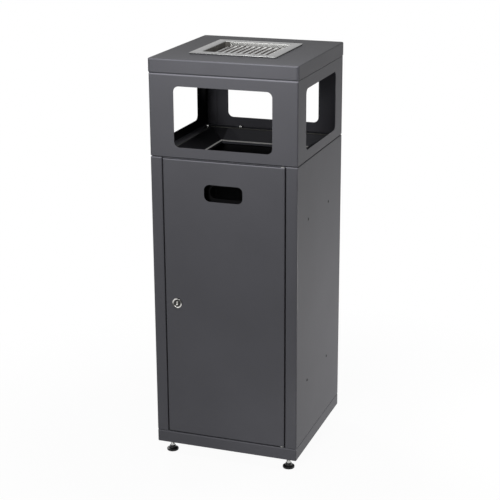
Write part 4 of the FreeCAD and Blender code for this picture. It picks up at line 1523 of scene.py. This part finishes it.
@dataclass
class Studio:
    """Plain pale floor, white surroundings and soft lights."""

    ambient: float = 0.03
    white: Colour = (1.0, 1.0, 1.0)
    floor_half: float = 25.0
    floor_colour: Colour = (0.75, 0.75, 0.75)
    floor_white: float = 0.95
    near: float = 0.45
    far: float = 1.0
    lights: tuple[SoftBox, ...] = (
        SoftBox("front_box", (0.05, -2.30, 1.30), (0.0, -0.17, 0.70), 0.3, 0.3, 15.6),
        SoftBox("front_left_box", (-0.85, -2.30, 0.70), (0.0, -0.17, 0.60), 0.8, 0.8, 7.9),
        SoftBox("front_top_strip", (0.10, -0.53, 1.28), (0.10, -0.17, 0.90), 0.7, 0.2, 3.6),
        SoftBox("front_low_box", (0.15, -0.45, 0.06), (0.0, -0.17, 0.04), 0.12, 0.12, 0.15),
        SoftBox("right_low_box", (1.0, 0.35, 0.19), (0.17, 0.0, 0.22), 0.34, 0.34, 8.1, WARM),
        SoftBox("back_left_box", (-1.1, 1.1, 0.8), (0.0, 0.0, 0.5), 0.6, 0.6, 12.0),
    )

    def seen(self, nodes: Nodes) -> Socket:
        """Adds a value that is 1 for rays from the camera, a gloss or a glass, else 0.

        Args:
            nodes: The node tree.

        Returns:
            The value.
        """
        ray = nodes.node("LightPath", {}).outputs
        total = nodes.math("MAXIMUM", ray["Is Camera Ray"], ray["Is Glossy Ray"])
        return nodes.math("MAXIMUM", total, ray["Is Transmission Ray"])

    def surround(self) -> None:
        """Makes the world: white where it is seen, a plain grey light elsewhere."""
        world = bpy.data.worlds.new("studio")
        bpy.context.scene.world = world
        world.use_nodes = True
        nodes = Nodes(world.node_tree)
        strength = nodes.spread(self.seen(nodes), self.ambient, 1.0, 0.0, 1.0)
        background = world.node_tree.nodes["Background"]
        nodes.fill(background, {"Color": (*self.white, 1.0), "Strength": strength})

    def floor(self) -> None:
        """Makes the floor: flat, dull and pale. Where it is seen, white is mixed in, most of all
        away from the bin, so that the shadow beside the bin stays."""
        h = self.floor_half
        mesh = bpy.data.meshes.new("studio_floor")
        mesh.from_pydata([(-h, -h, 0), (h, -h, 0), (h, h, 0), (-h, h, 0)], [], [(0, 1, 2, 3)])
        floor = bpy.data.objects.new("studio_floor", mesh)
        bpy.context.scene.collection.objects.link(floor)
        sheet = Sheet("studio_floor")
        sheet.tree.nodes.remove(sheet.shader)
        seen = self.seen(sheet)
        pale = sheet.blend(seen, self.floor_colour, self.white)
        dull = sheet.node("BsdfDiffuse", {"Color": pale}).outputs[0]
        white = sheet.node("Emission", {"Strength": 1.0}).outputs[0]
        away = sheet.node("VectorMath", {0: sheet.coordinates}, operation="LENGTH")
        whiter = sheet.spread(away.outputs["Value"], self.floor_white, 1.0, self.near, self.far)
        share = sheet.math("MULTIPLY", seen, whiter)
        mixed = sheet.node("MixShader", {0: share, 1: dull, 2: white})
        sheet.fill(sheet.output, {"Surface": mixed.outputs[0]})
        mesh.materials.append(sheet.material)

    def build(self) -> None:
        """Adds the surroundings, the floor and the lights."""
        bpy.context.scene.view_settings.view_transform = "Standard"
        self.surround()
        self.floor()
        for light in self.lights:
            light.build()


def main() -> None:
    """Builds the view, the studio, the finishes and every new piece."""
    logging.basicConfig(level=logging.INFO, format="%(name)s: %(message)s")
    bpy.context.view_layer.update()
    PhotoView().build()
    Studio().build()
    wardrobe = Wardrobe()
    wardrobe.dress_nodes()
    feet = [LevellingFoot(place) for place in FEET]
    for assembly in (*feet, Fasteners(), DoorFittings(), CamLock(), Chute(), AshTray()):
        assembly.build(wardrobe)


if __name__ == "__main__":
    main()
